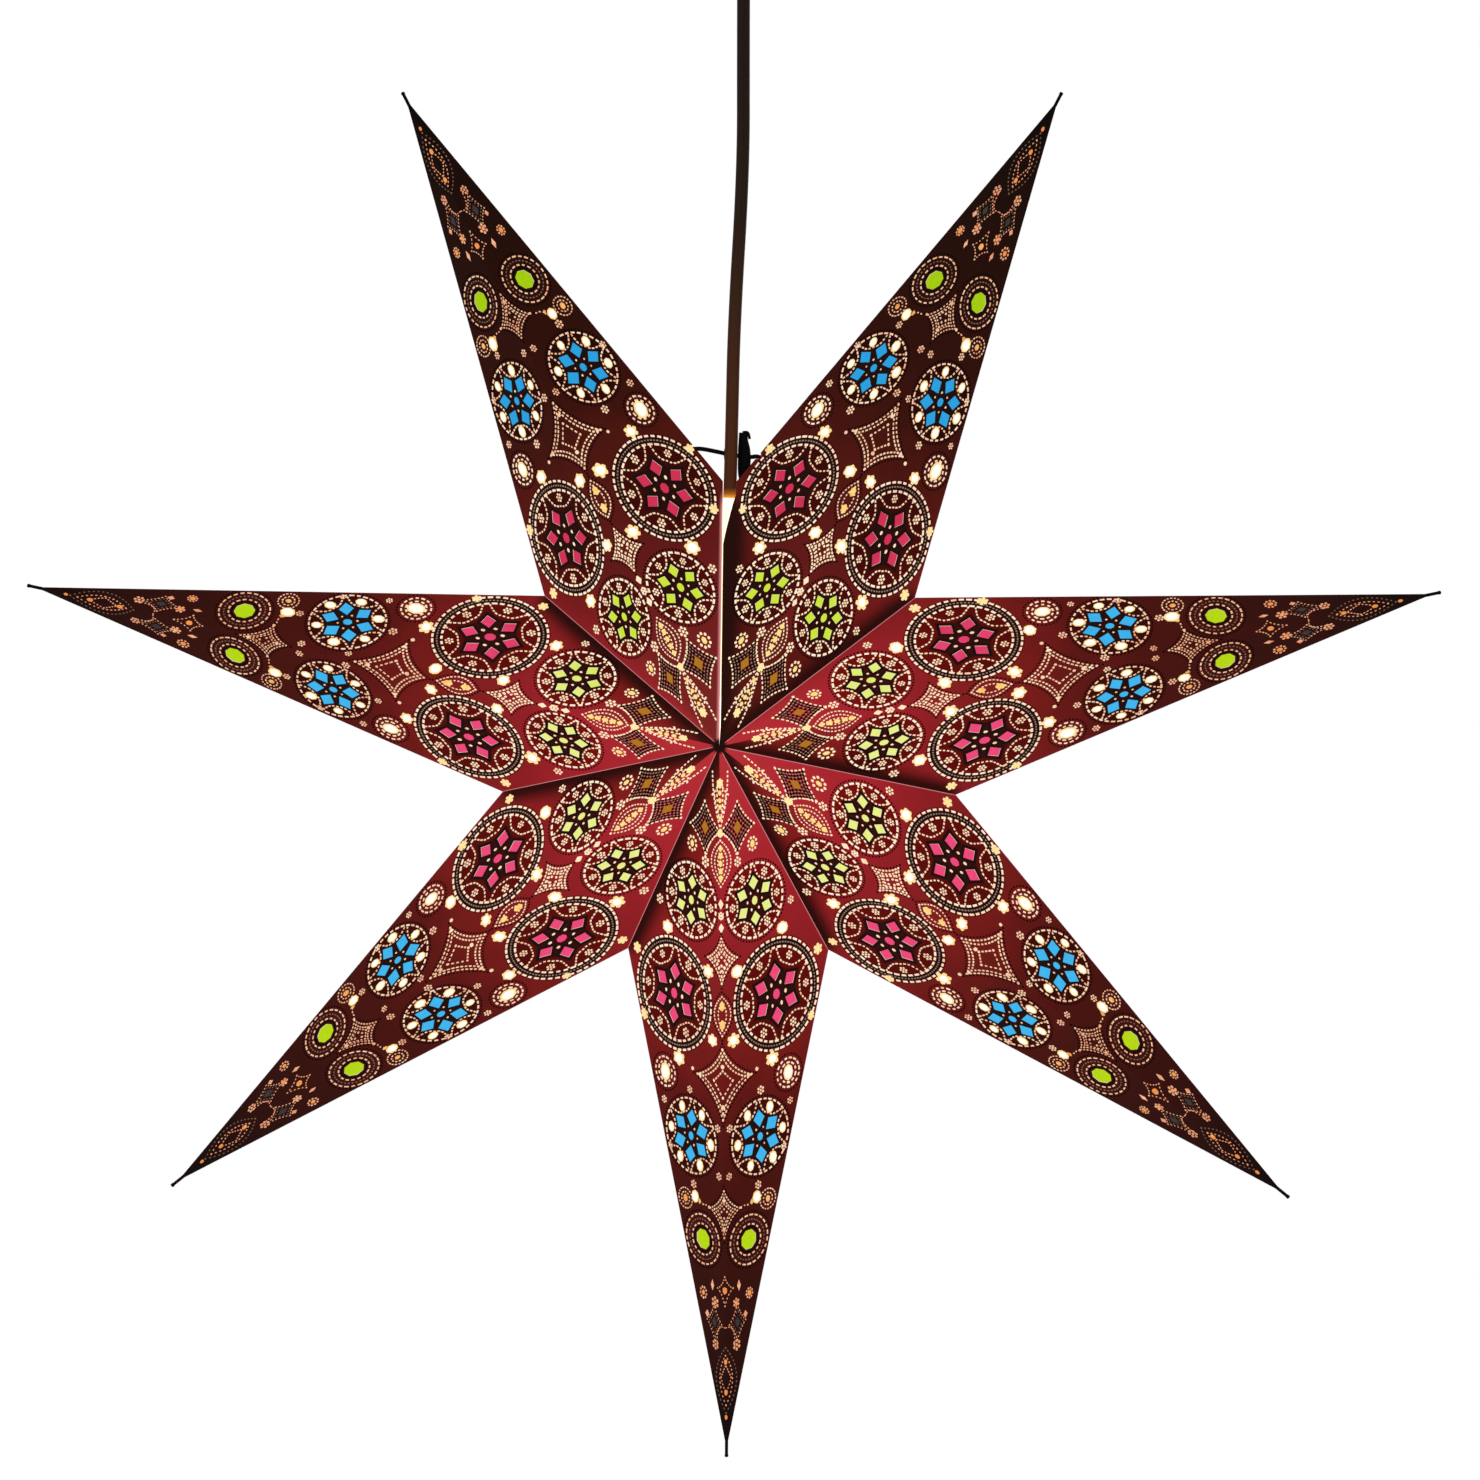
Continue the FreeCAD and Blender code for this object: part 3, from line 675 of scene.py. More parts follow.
def leadMaterial():
    material, tree, shader, place = newMaterial("leadSleevePaintedLight", 0.5, 0.05)
    height = split(place)["Z"]
    # Painted light: the lower end is painted lighter and glows amber from the bulb
    feed(shader["Base Color"], ramp(fade(height, *lead["tonesFrom"]), lead["tones"]))
    feed(shader["Emission Color"], ramp(fade(height, *lead["glowFrom"]), lead["glow"]))
    feed(shader["Emission Strength"], 1.0)
    bump(shader, noise(place, lead["weaveScale"]), *lead["bump"])
    return material


def makeLead():
    curve = newCurve("lamp_lead", leadMaterial(), lead["diameter"] / 2, 16, 6)
    strand(curve, [(place, 1.0) for place in lead["route"]])
    piece = addPiece("lamp_lead", curve, "lead")
    fitting = [scene.objects[name] for name in ("turned_cup", "turned_grip")]
    fitting += [frame["nodes"][name] for name in ("ceiling_base", "ceiling_terminals", "grip_locknut")]


whitePlastic = plainMaterial("ceilingPlastic", tone(226, 224, 218), 0.38)
blackString = plainMaterial("blackString", tone(12, 9, 9), 0.9, specular=0.04)
makeCeiling()
makeLead()
dressNodes()
print("stage: lead and materials made")


# The panels in the round, for everything that is punched or printed on them

def toWorld(place, lean, face, side):
    x, y, z = side * place.x, face * place.y, place.z
    return Vector((math.sin(lean) * z + math.cos(lean) * x, y, math.cos(lean) * z - math.sin(lean) * x))


def makePanels():
    panels = []
    for index in range(star["points"]):
        lean = halfSeam + pitch * (index + 0.5)
        for face in (-1, 1):
            for side in (-1, 1):
                besideSeam = (index == 0 and side < 0) or (index == star["points"] - 1 and side > 0)
                axes = panelAxes(star["seamCornerRadius"] if besideSeam else star["cornerRadius"])
                panel = {"hub": star["centre"] + Vector((0.0, face * star["halfDepth"], 0.0)),
                         "corner": axes[3:]}
                for name, axis in zip(("along", "across", "outward"), axes):
                    panel[name] = toWorld(axis, lean, face, side)
                panels.append(panel)
    return panels


panels = makePanels()
plainCorner = panelAxes(star["cornerRadius"])[3:]
edgeRoom = 0.9           # millimetres kept free at a panel's edge
hubRoom = 3.0
overRidge = 0.05         # a place may lie this far over the ridge


# A place on a panel: a motif's centre slides with the panel's width, its own shape doesn't.
def onPanel(panel, centre, offset):
    shift = panelWidth(centre[0], *panel["corner"]) / panelWidth(centre[0], *plainCorner)
    along = centre[0] + offset[0]
    across = centre[1] * shift + offset[1]
    inside = -overRidge <= across <= panelWidth(along, *panel["corner"]) - edgeRoom and along > hubRoom
    return (panel["hub"] + panel["along"] * along + panel["across"] * across) * mm, inside


# Outlines in a panel's own plane, as (along, across) pairs from a motif's centre

def circle(radius, corners=72):
    turns = [2 * math.pi * (index % corners) / corners for index in range(corners + 1)]
    return [(radius * math.cos(turn), radius * math.sin(turn)) for turn in turns]


def circles(*radii):
    return [circle(radius) for radius in radii]


# An arc that hangs inward from a ring between two of its places.
def cup(ring, dip, turn, half, corners=14):
    line = []
    for index in range(corners + 1):
        t = 2.0 * index / corners - 1.0
        far = ring - (ring - dip) * (1.0 - t ** 4)
        angle = turn + half * t
        line.append((far * math.cos(angle), far * math.sin(angle)))
    return line


# A line from start to end that bows towards the point pull.
def bowed(start, end, pull, corners=12):
    line = []
    for index in range(corners + 1):
        t = index / corners
        line.append(tuple((1 - t) ** 2 * s + 2 * t * (1 - t) * p + t * t * e
                          for s, p, e in zip(start, pull, end)))
    return line


# Half of each four-pointed star on the ridge, in two hollow lines.
def ridgeStars(*sizes, hollow=0.30):
    lines = []
    for above, below, aside in sizes:
        lines += [bowed((-above, 0.0), (0.0, aside), (-above * hollow, aside * hollow)),
                  bowed((0.0, aside), (below, 0.0), (below * hollow, aside * hollow))]
    return lines


def pointedOvals(*sizes):
    return [bowed((-half, 0.0), (half, 0.0), (0.0, 2 * aside)) for half, aside in sizes]


def hollowSquares(*sizes, hollow=0.38):
    lines = []
    for half, aside in sizes:
        corners = [(-half, 0.0), (0.0, aside), (half, 0.0), (0.0, -aside)]
        for first, second in zip(corners, corners[1:] + corners[:1]):
            lines.append(bowed(first, second, tuple((a + b) * hollow for a, b in zip(first, second))))
    return lines


def around(start):
    return [start + 2 * math.pi * index / petals["count"] for index in range(petals["count"])]


# Rows of punched dashes and printed specks: a motif's centre, its lines and its dash

petalGap = petals["turn"] + math.pi / petals["count"]
hubCentre, middleCentre, outerCentre, tipCentre = [windowPlace(window) for window in windows.values()]
smallStar, bigStar, thickStar, tipStar = (199.8, 0.0), (143.3, 0.0), (91.2, 0.0), (234.0, 0.0)
hubSquare, tipSquare = (36.0, 9.6), (249.6, 7.0)
hubLeaf, cornerLeaf, tipLeaf = (49.5, 0.0), (114.7, 0.0), (273.6, 0.0)
medal, smallMedal = (147.4, 37.4), (199.7, 25.1)

bigDash = (3.2, 2.05, 0.95)      # pitch, length and width, millimetres
speck = (1.85, 1.1, 0.68)
fineSpeck = (1.5, 0.85, 0.55)
tipSpeck = (1.5, 0.75, 0.42)
tanDot = (1.5, 0.7, 0.6)
darkDot = (1.65, 0.85, 0.75)

dashRows = [
    (hubCentre, circles(15.8), bigDash),
    (middleCentre, circles(24, 20.2), bigDash),
    (outerCentre, circles(16.1), (2.9, 1.85, 0.75)),
    (tipCentre, circles(10.7), (2.9, 1.75, 0.62)),
    (tipCentre, circles(6.7), (2.5, 1.4, 0.62)),
    (medal, circles(6.3, 4.3), (2.5, 1.5, 0.75)),
]
speckRows = [(centre, [cup(ring, dip, turn, half) for turn in around(petalGap)], speck)
             for centre, ring, dip, half in ((hubCentre, 14.6, 9.9, 0.46), (middleCentre, 19.2, 13.4, 0.44),
                                             (outerCentre, 14.9, 10.4, 0.46))]
speckRows += [
    (bigStar, ridgeStars((14.2, 16.2, 16.2), (11.4, 13.4, 12.6)) + [
        bowed((-5, 0), (0.3, 5.6), (-2.2, 2.8)), bowed((0.3, 5.6), (6.6, 0), (3.6, 2.8))], speck),
    (smallStar, ridgeStars((9.4, 11, 8.8), (6.6, 8.2, 6.2))
     + ridgeStars((3.8, 5.2, 3.8), (1.6, 2.4, 1.6), hollow=0.5), fineSpeck),
    (thickStar, ridgeStars((9.8, 9.4, 8.6), (6.8, 6.4, 6))
     + ridgeStars((4.2, 4, 3.8), (1.8, 1.8, 1.8), hollow=0.5), (1.6, 1.0, 0.7)),
    (tipStar, ridgeStars((6, 6.8, 4.6)), tipSpeck),
    (cornerLeaf, pointedOvals((8.4, 4.9), (6, 2.4)), fineSpeck),
    (hubLeaf, pointedOvals((9.8, 5.8), (7.4, 3.7), (5.6, 1.6)), fineSpeck),
    ((22.5, 0), [bowed((-6.6, 0.4), (-1.4, 4.6), (-4, 2)), bowed((-11, 4.4), (11, 0.4), (0, 4.6)),
                   bowed((-3.6, 1.6), (8.6, 0.2), (2, 1.9)), bowed((-1, 3.2), (7.4, 0.6), (3.4, 2.4))],
     speck),
    (hubSquare, hollowSquares((11, 9.3)), speck),
    ((36.5, 0), [bowed((0.8, 1.2), (12.2, 9.2), (4, 7.4))], fineSpeck),
    (tipSquare, hollowSquares((7.8, 4.6)), tipSpeck),
    (smallMedal, circles(4.4, 2.6), fineSpeck),
    ((250.4, 0), [bowed((0, 0.4), (9, 5.2), (-0.4, 6))], tipSpeck),
    (tipLeaf, pointedOvals((11, 3.8)), (1.9, 0.8, 0.42)),
    ((273, 0), [bowed((-5.5, 0.3), (0, 3), (-2.4, 1.9)), bowed((0, 3), (5.5, 0.4), (2.6, 2.4))],
     tipSpeck),
    ((199, 14.6), [bowed((-1.4, 2.2), (0.4, -3), (1.2, 0))], fineSpeck),
]
tanRows = [
    (middleCentre, circles(22.1), (1.55, 0.8, 0.6)),
    (tipLeaf, pointedOvals((14.4, 6.2)), (1.9, 0.8, 0.5)),
    (tipCentre, circles(8.7), (1.7, 0.8, 0.5)),
    (hubSquare, hollowSquares((8.2, 6.9)), tanDot),
    (hubSquare, hollowSquares((5.6, 4.6)), tanDot),
    (tipSquare, hollowSquares((6, 3.2)), (1.5, 0.7, 0.5)),
]
darkRows = [
    (hubCentre, circles(17.4), darkDot),
    (outerCentre, circles(17.6), darkDot),
    (tipCentre, circles(12.2), darkDot),
    (medal, circles(8.1), darkDot),
    (bigStar, ridgeStars((16.8, 18.8, 18.8)), darkDot),
    (smallStar, ridgeStars((11.6, 13, 11)), darkDot),
    (thickStar, ridgeStars((12, 11.6, 10.6)), darkDot),
    (cornerLeaf, pointedOvals((10.4, 6.2)), darkDot),
    (hubSquare, hollowSquares((9.5, 8), (6.9, 5.7), (4.4, 3.5)), (1.5, 1.2, 0.95)),
    (tipSquare, hollowSquares((7, 3.9)), (1.5, 1.1, 0.7)),
    (tipCentre, circles(5.4), (1.2, 1.15, 0.8)),
]


# A mesh of places, with a vector of each name at every place.
def placesMesh(name, places, edges, **vectors):
    mesh = bpy.data.meshes.new(name)
    mesh.from_pydata(places, edges, [])
    for label, values in vectors.items():
        data = mesh.attributes.new(label, "FLOAT_VECTOR", "POINT").data
        data.foreach_set("vector", [number for value in values for number in value])
    return mesh


# The rows' centre lines on every panel, with what each needs to know about its dashes.
def rowSource(name, rows):
    places, edges, outward, dashes = [], [], [], []
    for panel in panels:
        for centre, lines, size in rows:
            for line in lines:
                joined = False
                for offset in line:
                    place, inside = onPanel(panel, centre, offset)
                    if inside and joined:
                        edges.append((len(places) - 1, len(places)))
                    joined = inside
                    if inside:
                        places.append(place)
                        outward.append(panel["outward"])
                        dashes.append([value * mm for value in size])
    return placesMesh(name, places, edges, outward=outward, dashes=dashes)


# Single places on every panel. A seat is a motif's centre, an offset from it, half a length and
# width, and a turn.
def seatSource(name, seats):
    places, outward, forward, sizes = [], [], [], []
    for panel in panels:
        for centre, offset, size, turn in seats:
            place, inside = onPanel(panel, centre, offset)
            if inside:
                places.append(place)
                outward.append(panel["outward"])
                forward.append(panel["along"] * math.cos(turn) + panel["across"] * math.sin(turn))
                sizes.append([value * mm for value in size] + [mm])
    return placesMesh(name, places, [], outward=outward, forward=forward, size=sizes)


# Geometry Nodes

common = {"Geometry": "Geometry", "Thickness": 0.00022, "Unevenness": 0.12, "Seed": 1,
          "Material": "Material"}


def newTree(name, **extra):
    return newGroup(name, "GeometryNodeTree", {**common, **extra}, {"Geometry": "Geometry"})


# What a geometry node makes of its inputs.
def grown(tree, kind, given=(), **settings):
    return newNode(tree, "GeometryNode" + kind, given, **settings).outputs[0]


def read(tree, name):
    return grown(tree, "InputNamedAttribute", {"Name": name}, data_type="FLOAT_VECTOR")


def uneven(tree, given):
    least, most = minus(1.0, given["Unevenness"]), plus(1.0, given["Unevenness"])
    return newNode(tree, "FunctionNodeRandomValue", {2: least, 3: most, "Seed": given["Seed"]},
                   data_type="FLOAT").outputs[1]


# Stands a form on its panel at every point, and gives the whole its material.
def standForms(tree, given, result, points, form, forward, scale):
    turn = newNode(tree, "FunctionNodeAxesToRotation", (read(tree, "outward"), forward),
                   primary_axis="Z", secondary_axis="X").outputs[0]
    placed = grown(tree, "InstanceOnPoints",
                   {"Points": points, "Instance": form, "Rotation": turn, "Scale": scale})
    painted = {"Geometry": grown(tree, "RealizeInstances", [placed]), "Material": given["Material"]}
    feed(result[0], grown(tree, "SetMaterial", painted))


# Small bars at an even pitch along every line, lying on the paper.
def dashTree():
    tree, given, result = newTree("punchedRow")
    spacing, length, width = split(read(tree, "dashes"))
    curve = grown(tree, "MeshToCurve", [given["Geometry"]])
    even = grown(tree, "ResampleCurve", {"Curve": curve, "Length": spacing}, mode="LENGTH")
    bar = grown(tree, "MeshCube", {"Size": (1.0, 1.0, 1.0)})
    bulk = (times(length, uneven(tree, given)), width, given["Thickness"])
    scale = newNode(tree, "ShaderNodeCombineXYZ", bulk).outputs[0]
    standForms(tree, given, result, even, bar, grown(tree, "InputTangent"), scale)
    return tree


# One small form at every seat, turned to its panel and scaled to its size.
def seatTree(name, template, extra):
    tree, given, result = newTree(name, **extra)
    form = template(tree, given, over(given["Thickness"], mm))
    scale = newNode(tree, "ShaderNodeVectorMath", {0: read(tree, "size"), "Scale": uneven(tree, given)},
                    operation="SCALE").outputs[0]
    standForms(tree, given, result, given["Geometry"], form, read(tree, "forward"), scale)
    return tree


def disc(tree, sides, radius, thickness):
    size = {"Vertices": sides, "Radius": radius, "Depth": thickness}
    return grown(tree, "MeshCylinder", size, fill_type="NGON")


def spotForm(tree, given, thickness):
    return disc(tree, given["Sides"], 1.0, thickness)


# Petals in a ring round a heart, a unit in radius over all.
def flowerForm(tree, given, thickness):
    radius = minus(1.0, given["Petal Radius"])
    ring = grown(tree, "MeshCircle", {"Vertices": given["Petals"], "Radius": radius}, fill_type="NONE")
    petal = disc(tree, 5, given["Petal Radius"], thickness)
    wreath = grown(tree, "InstanceOnPoints", {"Points": ring, "Instance": petal})
    heart = disc(tree, 6, given["Heart Radius"], times(thickness, 1.3))
    both = newNode(tree, "GeometryNodeJoinGeometry", [wreath])
    feed(both.inputs[0], heart)
    return grown(tree, "RealizeInstances", [both.outputs[0]])


# Runs a tree on its source and keeps the result as a plain mesh on the star.
def growPiece(name, mesh, tree, material, slot="printed_paper", **values):
    source = bpy.data.objects.new(name + "_source", mesh)
    scene.collection.objects.link(source)
    modifier = source.modifiers.new("grow", "NODES")
    modifier.node_group = tree
    values["Material"] = material
    for item in tree.interface.items_tree:
        if item.in_out == "INPUT" and item.name in values:
            modifier[item.identifier] = values[item.name]
    made = bpy.data.meshes.new_from_object(source.evaluated_get(bpy.context.evaluated_depsgraph_get()))
    source.modifiers.remove(modifier)
    bpy.data.objects.remove(source)
    for label in ("outward", "dashes", "forward", "size"):
        if label in made.attributes:
            made.attributes.remove(made.attributes[label])
    made.name = name
    if not made.materials:
        made.materials.append(material)
    addPiece(name, made)
    print("piece:", name, sum(len(face.vertices) - 2 for face in made.polygons), "triangles")


# Light through the punched holes, and the fine prints: brighter near the lamp

lightTones = {           # near the hub, then at the tips
    "peachLight": (tone(255, 234, 206), tone(234, 164, 122)),
    "paleLight": (tone(255, 228, 190), tone(222, 144, 106)),
    "whiteLight": (tone(255, 255, 246), tone(255, 250, 232)),
    "yellowLight": (tone(255, 226, 160), tone(250, 202, 130)),
    "amberLight": (tone(253, 216, 128), tone(230, 136, 70)),
    "tanPrint": (tone(158, 122, 104), tone(106, 80, 64)),
    "brownPrint": (tone(168, 112, 34), tone(120, 80, 40)),
    "greyPrint": (tone(70, 66, 64), tone(54, 50, 50)),
}
lightCloud = {"scale": 420.0, "share": 1.6, "middle": 1.3, "strength": 0.55, "reach": (0.15, 0.95),
              "base": (0.12, 0.12, 0.12, 1.0)}


def lightMaterial(name, near, far):
    material, tree, shader, place = newMaterial(name, 0.7, 0.02)
    grain, at = grainAndPanel(tree, place)
    fine = times(noise(place, lightCloud["scale"], 1.0), lightCloud["share"])
    cloud = minus(plus(grain["Cloud"], fine), lightCloud["middle"])
    share = over(at["Reach"], star["reach"])
    cloudy = sums("MULTIPLY_ADD", cloud, lightCloud["strength"], share)
    colour = blend(fade(cloudy, *lightCloud["reach"]), near, far)
    glowing(material, shader, colour)
    feed(shader["Base Color"], tinted(colour, lightCloud["base"]))
    return material


# Seats for the single spots and flowers

# Seats from along, across, half a length and half a width each.
def seated(*rows):
    return [((along, across), (0.0, 0.0), (long, wide), 0.0) for along, across, long, wide in rows]


# Seats at the same size, off a motif's centre.
def beside(centre, size, *offsets):
    return [(centre, offset, size, 0.0) for offset in offsets]


# A seat in the middle of each gap between a rosette's petals.
def inGaps(centre, far, size):
    offsets = [(far * math.cos(turn), far * math.sin(turn)) for turn in around(petalGap)]
    return beside(centre, size, *offsets)


onRidge = 0.1            # millimetres off the ridge, for a spot that each side has half of
flowerSeats = seated(
    (50.6, 9.6, 2.5, 2.2), (73, 39.5, 2.1, 2), (71.8, onRidge, 1.9, 1.7), (151.4, 21.5, 1.9, 1.9),
    (159.8, 38.4, 1.7, 1.7), (164, 3.6, 1.8, 1.8), (184.7, 3, 1.8, 1.8), (192.3, 19.6, 2, 1.9),
    (179, 34.6, 1.6, 1.5), (259.4, 6.4, 2.4, 2), (240.8, 6.4, 2.5, 2.1))
flowerSeats += inGaps(hubCentre, 12.6, (1.9, 1.7)) + inGaps(middleCentre, 17, (2.1, 1.9))
ringSeats = seated((44.6, 18, 3.6, 3.2), (238.4, 14, 2.8, 2.3))
hotPlaces = [(84, 34.6), (97.3, 8.6), (126.4, 6.3), (139.3, 28.3)]
yellowSeats = seated((97.6, 55, 2.4, 2.4), (125.6, 50.8, 2.3, 2.2), (36.6, onRidge, 2.1, 1.8),
                     (15.6, onRidge, 2.1, 1.8), *[(*place, 3.3, 3.7) for place in hotPlaces])
hotSeats = seated(*[(*place, 1.9, 2.2) for place in hotPlaces]) + inGaps(outerCentre, 12.9, (1.9, 1.5))
hotSeats += seated((*medal, 3, 2.3), (197.4, 18.7, 2.3, 1.9))
rimShare = 1.35
rimSeats = [(centre, offset, (long * rimShare, wide * rimShare), turn)
            for centre, offset, (long, wide), turn in hotSeats]
creamSeats = beside(bigStar, (0.9, 0.9), (-6.8, onRidge), (0, 14.6), (-1.6, 19.4), (10.6, onRidge))
creamSeats += beside(smallStar, (0.7, 0.7), (-5.2, onRidge), (0, 9.6), (7.4, onRidge))
creamSeats += inGaps(hubCentre, 4.1, (0.6, 0.42)) + inGaps(middleCentre, 5.2, (0.9, 0.6))
creamSeats += inGaps(outerCentre, 4.1, (0.5, 0.4))
amberSeats = seated(*[(along, onRidge, 1, 0.8) for along in (19.6, 22.8, 25.6, 30.6)])
amberSeats += seated(*[(hubLeaf[0] + step, onRidge, 1.3, 1) for step in (-6.4, -3.2, 0, 3.2, 6.2)])
amberSeats += seated(
    *[(cornerLeaf[0] + step, onRidge, 2, 1.4) for step in (-4.2, 3.8)], (44.6, 18, 1.7, 1.2),
    (*smallMedal, 1.5, 1.2), (238.4, 14, 1.3, 1), (240.8, 6.4, 1, 0.9),
    (198.8, 15.8, 1.2, 0.6), (279, onRidge, 1.3, 0.8), (265.5, onRidge, 1.3, 0.8))
amberSeats += beside(tipStar, (1.5, 1.2), (0, onRidge)) + seated((290, onRidge, 1, 0.6))
diamondSeats = seated((66.8, onRidge, 1.9, 1.3), (77, onRidge, 1.9, 1.3), (233.5, 8, 2.2, 0.9))
diamondSeats += beside(tipSquare, (1.5, 1.1), (-2.5, 4.6))
petalShares = (0.59, 0.6)        # of an outer window's length and width, for the tissue seen in it
hearts = {"hub": (2, 1.6), "middle": (2.4, 2), "outer": (1.9, 1.6)}


def growOrnament():
    rows = dashTree()
    spots = seatTree("punchedSpot", spotForm, {"Sides": 8})
    flowers = seatTree("punchedFlower", flowerForm,
                       {"Petals": 6, "Petal Radius": 0.29, "Heart Radius": 0.27})
    made = {name: lightMaterial(name, *tones) for name, tones in lightTones.items()}
    made["darkPrint"] = plainMaterial("darkPrint", tone(16, 7, 6), 0.8, specular=0.02)
    for name, lines, material, seed, unevenness in (
            ("punched_dashes", dashRows, "peachLight", 3, 0.2),
            ("punched_specks", speckRows, "paleLight", 5, 0.2),
            ("tan_specks", tanRows, "tanPrint", 7, 0.12),
            ("dark_specks", darkRows, "darkPrint", 9, 0.12)):
        growPiece(name, rowSource(name, lines), rows, made[material], Seed=seed, Unevenness=unevenness)
    for name, seats, material, seed, shape in (
            ("punched_flowers", flowerSeats, "paleLight", 11, (6, 0.29, 0.27)),
            ("ringed_flowers", ringSeats, "paleLight", 13, (9, 0.2, 0.1)),
            ("yellow_flowers", yellowSeats, "yellowLight", 15, (6, 0.34, 0.5))):
        shape = dict(zip(("Petals", "Petal Radius", "Heart Radius"), shape))
        growPiece(name, seatSource(name, seats), flowers, made[material], Seed=seed, **shape)
    for name, seats, material, seed, sides, thickness in (
            ("hot_rims", rimSeats, "yellowLight", 17, 8, 0.0003),
            ("hot_holes", hotSeats, "whiteLight", 17, 8, 0.0004),
            ("cream_spots", creamSeats, "paleLight", 19, 6, 0.0003),
            ("amber_spots", amberSeats, "amberLight", 21, 6, 0.0003),
            ("peach_diamonds", diamondSeats, "paleLight", 23, 4, 0.00022),
            ("brown_diamonds", seated((*hubSquare, 3.2, 2.2)), "brownPrint", 25, 4, 0.00022),
            ("grey_diamonds", seated((*tipSquare, 2.6, 1.5)), "greyPrint", 27, 4, 0.00022)):
        growPiece(name, seatSource(name, seats), spots, made[material], Seed=seed, Sides=sides,
                  Thickness=thickness)
    outer = windows["outer"]
    size = (outer["long"] * petalShares[0], outer["wide"] * petalShares[1])
    seats = [(outerCentre, (outer["ring"] * math.cos(turn), outer["ring"] * math.sin(turn)), size, turn)
             for turn in around(petals["turn"])]
    growPiece("outer_petals", seatSource("petals", seats), spots, bpy.data.materials["lit_tissue_outer"],
              slot="tissue_outer", Seed=31, Sides=4, Unevenness=0.04)
    for name, size in hearts.items():
        growPiece("heart_window_" + name, seatSource(name, seated((*windowPlace(windows[name]), *size))),
                  spots, bpy.data.materials["lit_tissue_" + name], slot="tissue_" + name,
                  Seed=29, Sides=8, Unevenness=0.05)


growOrnament()
print("stage: ornament made")


# The strip of doubled paper that closes the lower part of each seam, on both faces

seamStrip = {
    "from": 0.03,            # shares of the way from the hub to the seam's corners
    "closed": 0.76,
    "to": 0.95,
    "gap": 0.45,             # millimetres, as the next three are
    "under": 0.7,
    "deep": 0.15,
    "thick": 0.25,
    "steps": 24,
}


def makeSeamStrips():
    verts, faces = [], []
    strip, radius = seamStrip, star["seamCornerRadius"]
    for face in (-1, 1):
        apex = Vector((0.0, face * star["halfDepth"], 0.0))
        left = Vector((-radius * math.sin(halfSeam), 0.0, radius * math.cos(halfSeam)))
        right = Vector((-left.x, 0.0, left.z))
        first = len(verts)
        for index in range(strip["steps"] + 1):
            t = strip["from"] + (strip["to"] - strip["from"]) * index / strip["steps"]
            start, end = apex.lerp(right, t), apex.lerp(left, t)
            reach = max(0.0, (right - left).length * t - strip["gap"])
            if t > strip["closed"]:
                reach *= (strip["to"] - t) / (strip["to"] - strip["closed"])
            place = start + (end - start).normalized() * reach
            outer = start + Vector((strip["under"], 0.0, 0.0))
            for depth in (strip["deep"], strip["deep"] + strip["thick"]):
                inward = Vector((0.0, -face * depth, 0.0))
                verts += [(corner + inward + star["centre"]) * mm for corner in (outer, place)]
        for a in range(first, first + 4 * strip["steps"], 4):
            b = a + 4
            faces += [(a, a + 1, b + 1, b), (a + 2, b + 2, b + 3, a + 3), (a + 1, a + 3, b + 3, b + 1),
                      (a, b, b + 2, a + 2)]
        last = first + 4 * strip["steps"]
        faces += [(first, first + 2, first + 3, first + 1), (last, last + 1, last + 3, last + 2)]
    # Painted light: the strips glow faintly dark red, as the paper round them does with the lamp behind it
    material = plainMaterial("seamPaperPaintedGlow", tone(26, 8, 6), 0.8, specular=0.02, glow=tone(26, 8, 5))
    addPiece("seam_strips", closedMesh("seam_strips", verts, faces, material))


# The string that ties the seam, and its knot behind the lead, in millimetres

tie = {
    "leftHeight": 121.0,
    "rightHeight": 117.5,
    "radius": 0.92,
    "stopper": 1.7,
    "stopperForm": [(-0.6, 0.8), (0.0, 1.8), (1.0, 0.7)],     # shares of its half, and radii
    "depth": 2.1,
    "behind": [(-7.2, 3.2, -233.6), (-4.2, 3.9, -234.4), (0.6, 3.8, -234.8)],
    "after": [(1.4, 3.8, -235.0), (3.6, 3.0, -235.2)],
    "knot": [        # its parts, each a row of places with its radius there
        [((0.2, 3.8, -224.9), 1.7), ((0.3, 3.9, -228.4), 2.0), ((0.6, 4.2, -231.2), 2.6),
         ((0.8, 4.3, -235.4), 2.8), ((0.6, 4.2, -239.6), 2.7), ((0.1, 3.8, -243.0), 2.0),
         ((0.0, 3.5, -245.8), 1.0)],
        [((0.2, 3.2, -225.2), 0.9), ((1.6, 3.2, -224.7), 0.8), ((2.6, 3.3, -225.5), 0.7),
         ((3.0, 3.4, -227.6), 0.6)],
        [((-6.8, 3.0, -231.6), 0.7), ((-7.2, 3.0, -234.2), 0.9), ((-6.8, 3.0, -237.4), 0.5)],
        [((1.8, 3.6, -238.0), 1.2), ((2.6, 3.4, -241.0), 1.1), ((3.6, 3.2, -243.5), 0.8)],
    ],
}


# A place on the middle fold of a point beside the seam, and the way into the point from it.
def foldPlace(side, height):
    lean = halfSeam + pitch / 2
    radius = star["seamCornerRadius"]
    corner = Vector((side * radius * math.sin(halfSeam), 0.0, radius * math.cos(halfSeam)))
    end = Vector((side * star["reach"] * math.sin(lean), 0.0, star["reach"] * math.cos(lean)))
    place = corner.lerp(end, (height - corner.z) / (end.z - corner.z)) + star["centre"]
    inward = Vector((side * (end.z - corner.z), 0.0, -abs(end.x - corner.x))).normalized()
    return place, inward


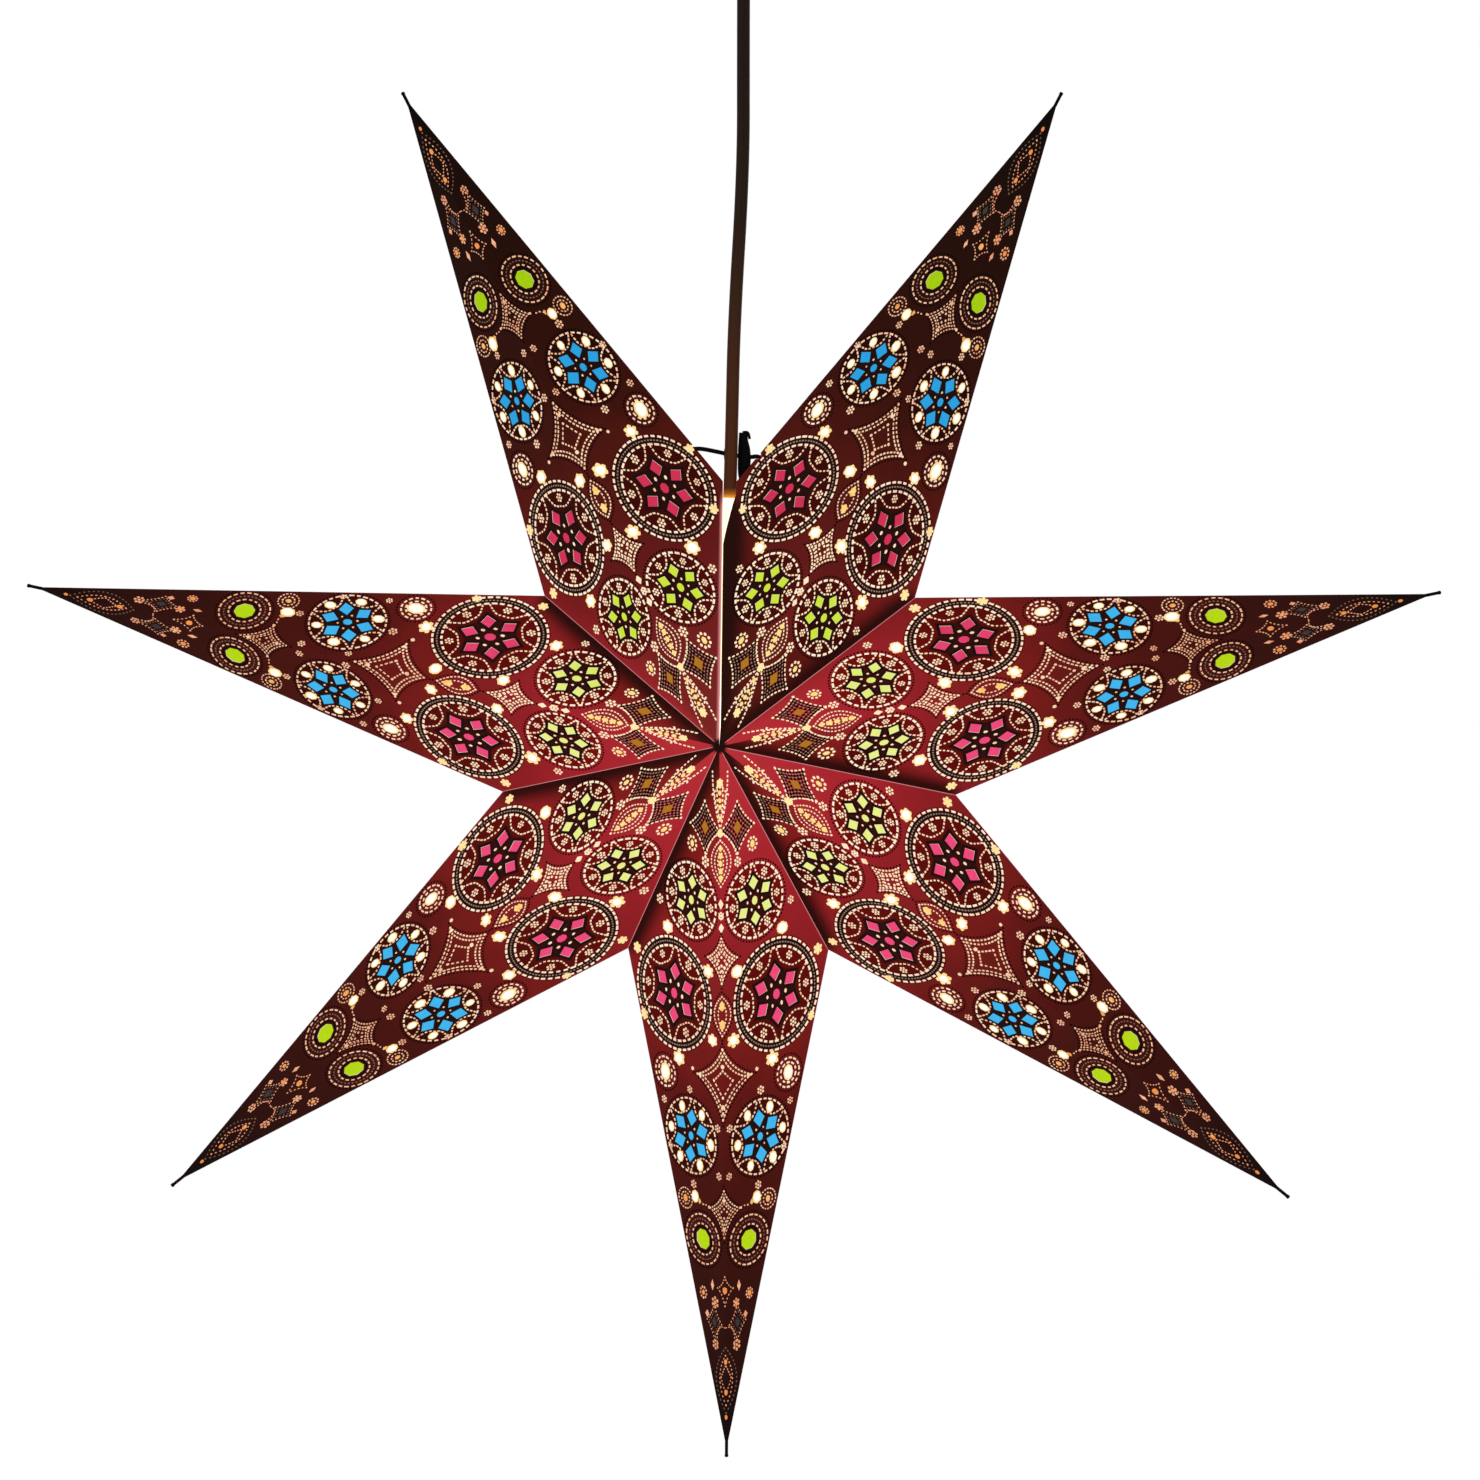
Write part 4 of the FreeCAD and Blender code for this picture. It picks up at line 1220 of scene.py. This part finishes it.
def makeTie():
    curve = newCurve("tie_knot", blackString, mm, 6, 3)
    left, intoLeft = foldPlace(-1, tie["leftHeight"])
    right, intoRight = foldPlace(1, tie["rightHeight"])
    fromLeft = [left + intoLeft * tie["depth"], left] + tie["behind"]
    toRight = tie["after"] + [right, right + intoRight * tie["depth"]]
    for places in (fromLeft, toRight):
        strand(curve, [(place, tie["radius"]) for place in places])
    for place, inward in ((left, intoLeft), (right, intoRight)):
        middle, half = place + inward * tie["depth"], inward * tie["stopper"]
        strand(curve, [(middle + half * share, radius) for share, radius in tie["stopperForm"]])
    for part in tie["knot"]:
        strand(curve, part)
    addPiece("tie_knot", curve, "tie_string")


makeSeamStrips()
makeTie()
print("stage: seam strips and string made")


# Lamps, world and floor, in metres: each lamp has its place, its size and its power

studio = {
    "floorDrop": 2.4,
    "floorSize": 12.0,
    "floorTone": (0.82, 0.82, 0.82, 1.0),
    "floorGlow": 0.72,
    "worldStrength": 0.55,
    "white": (1.0, 1.0, 1.0, 1.0),
    "lamps": [((-1.6, -2.2, 1.0), 1.6, 26.0), ((1.9, -1.8, 0.4), 1.4, 14.0), ((0.6, 2.4, 0.8), 1.6, 20.0)],
}


# What the camera sees, straight or in a reflection, gets high, and what lights the star gets low.
def seenOrNot(tree, low, high):
    path = tree.nodes.new("ShaderNodeLightPath").outputs
    rays = [path["Is %s Ray" % kind] for kind in ("Camera", "Glossy", "Transmission")]
    return fade(largest(*rays), 0.0, 1.0, low, high)


def makeStudio():
    world = scene.world = bpy.data.worlds.new("paleRoom")
    world.use_nodes = True
    back = world.node_tree.nodes["Background"].inputs
    feed(back["Color"], studio["white"])
    feed(back["Strength"], seenOrNot(world.node_tree, studio["worldStrength"], 1.0))
    place = (0.0, 0.0, star["centre"].z * mm - studio["floorDrop"])
    bpy.ops.mesh.primitive_plane_add(size=studio["floorSize"], location=place)
    floor = bpy.context.object
    floor.name = "floor"
    material, tree, shader, _ = newMaterial("paleFloor", 0.9, 0.5)
    feed(shader["Base Color"], studio["floorTone"])
    feed(shader["Emission Color"], studio["white"])
    feed(shader["Emission Strength"], seenOrNot(tree, 0.0, studio["floorGlow"]))
    floor.data.materials.append(material)
    for index, (place, size, power) in enumerate(studio["lamps"]):
        data = bpy.data.lights.new("softLamp%d" % index, "AREA")
        data.size = size
        data.energy = power
        lamp = bpy.data.objects.new("softLamp%d" % index, data)
        lamp.location = star["centre"] * mm + Vector(place)
        lamp.rotation_euler = Vector(place).to_track_quat("Z", "Y").to_euler()
        scene.collection.objects.link(lamp)


makeStudio()
print("stage: studio made")
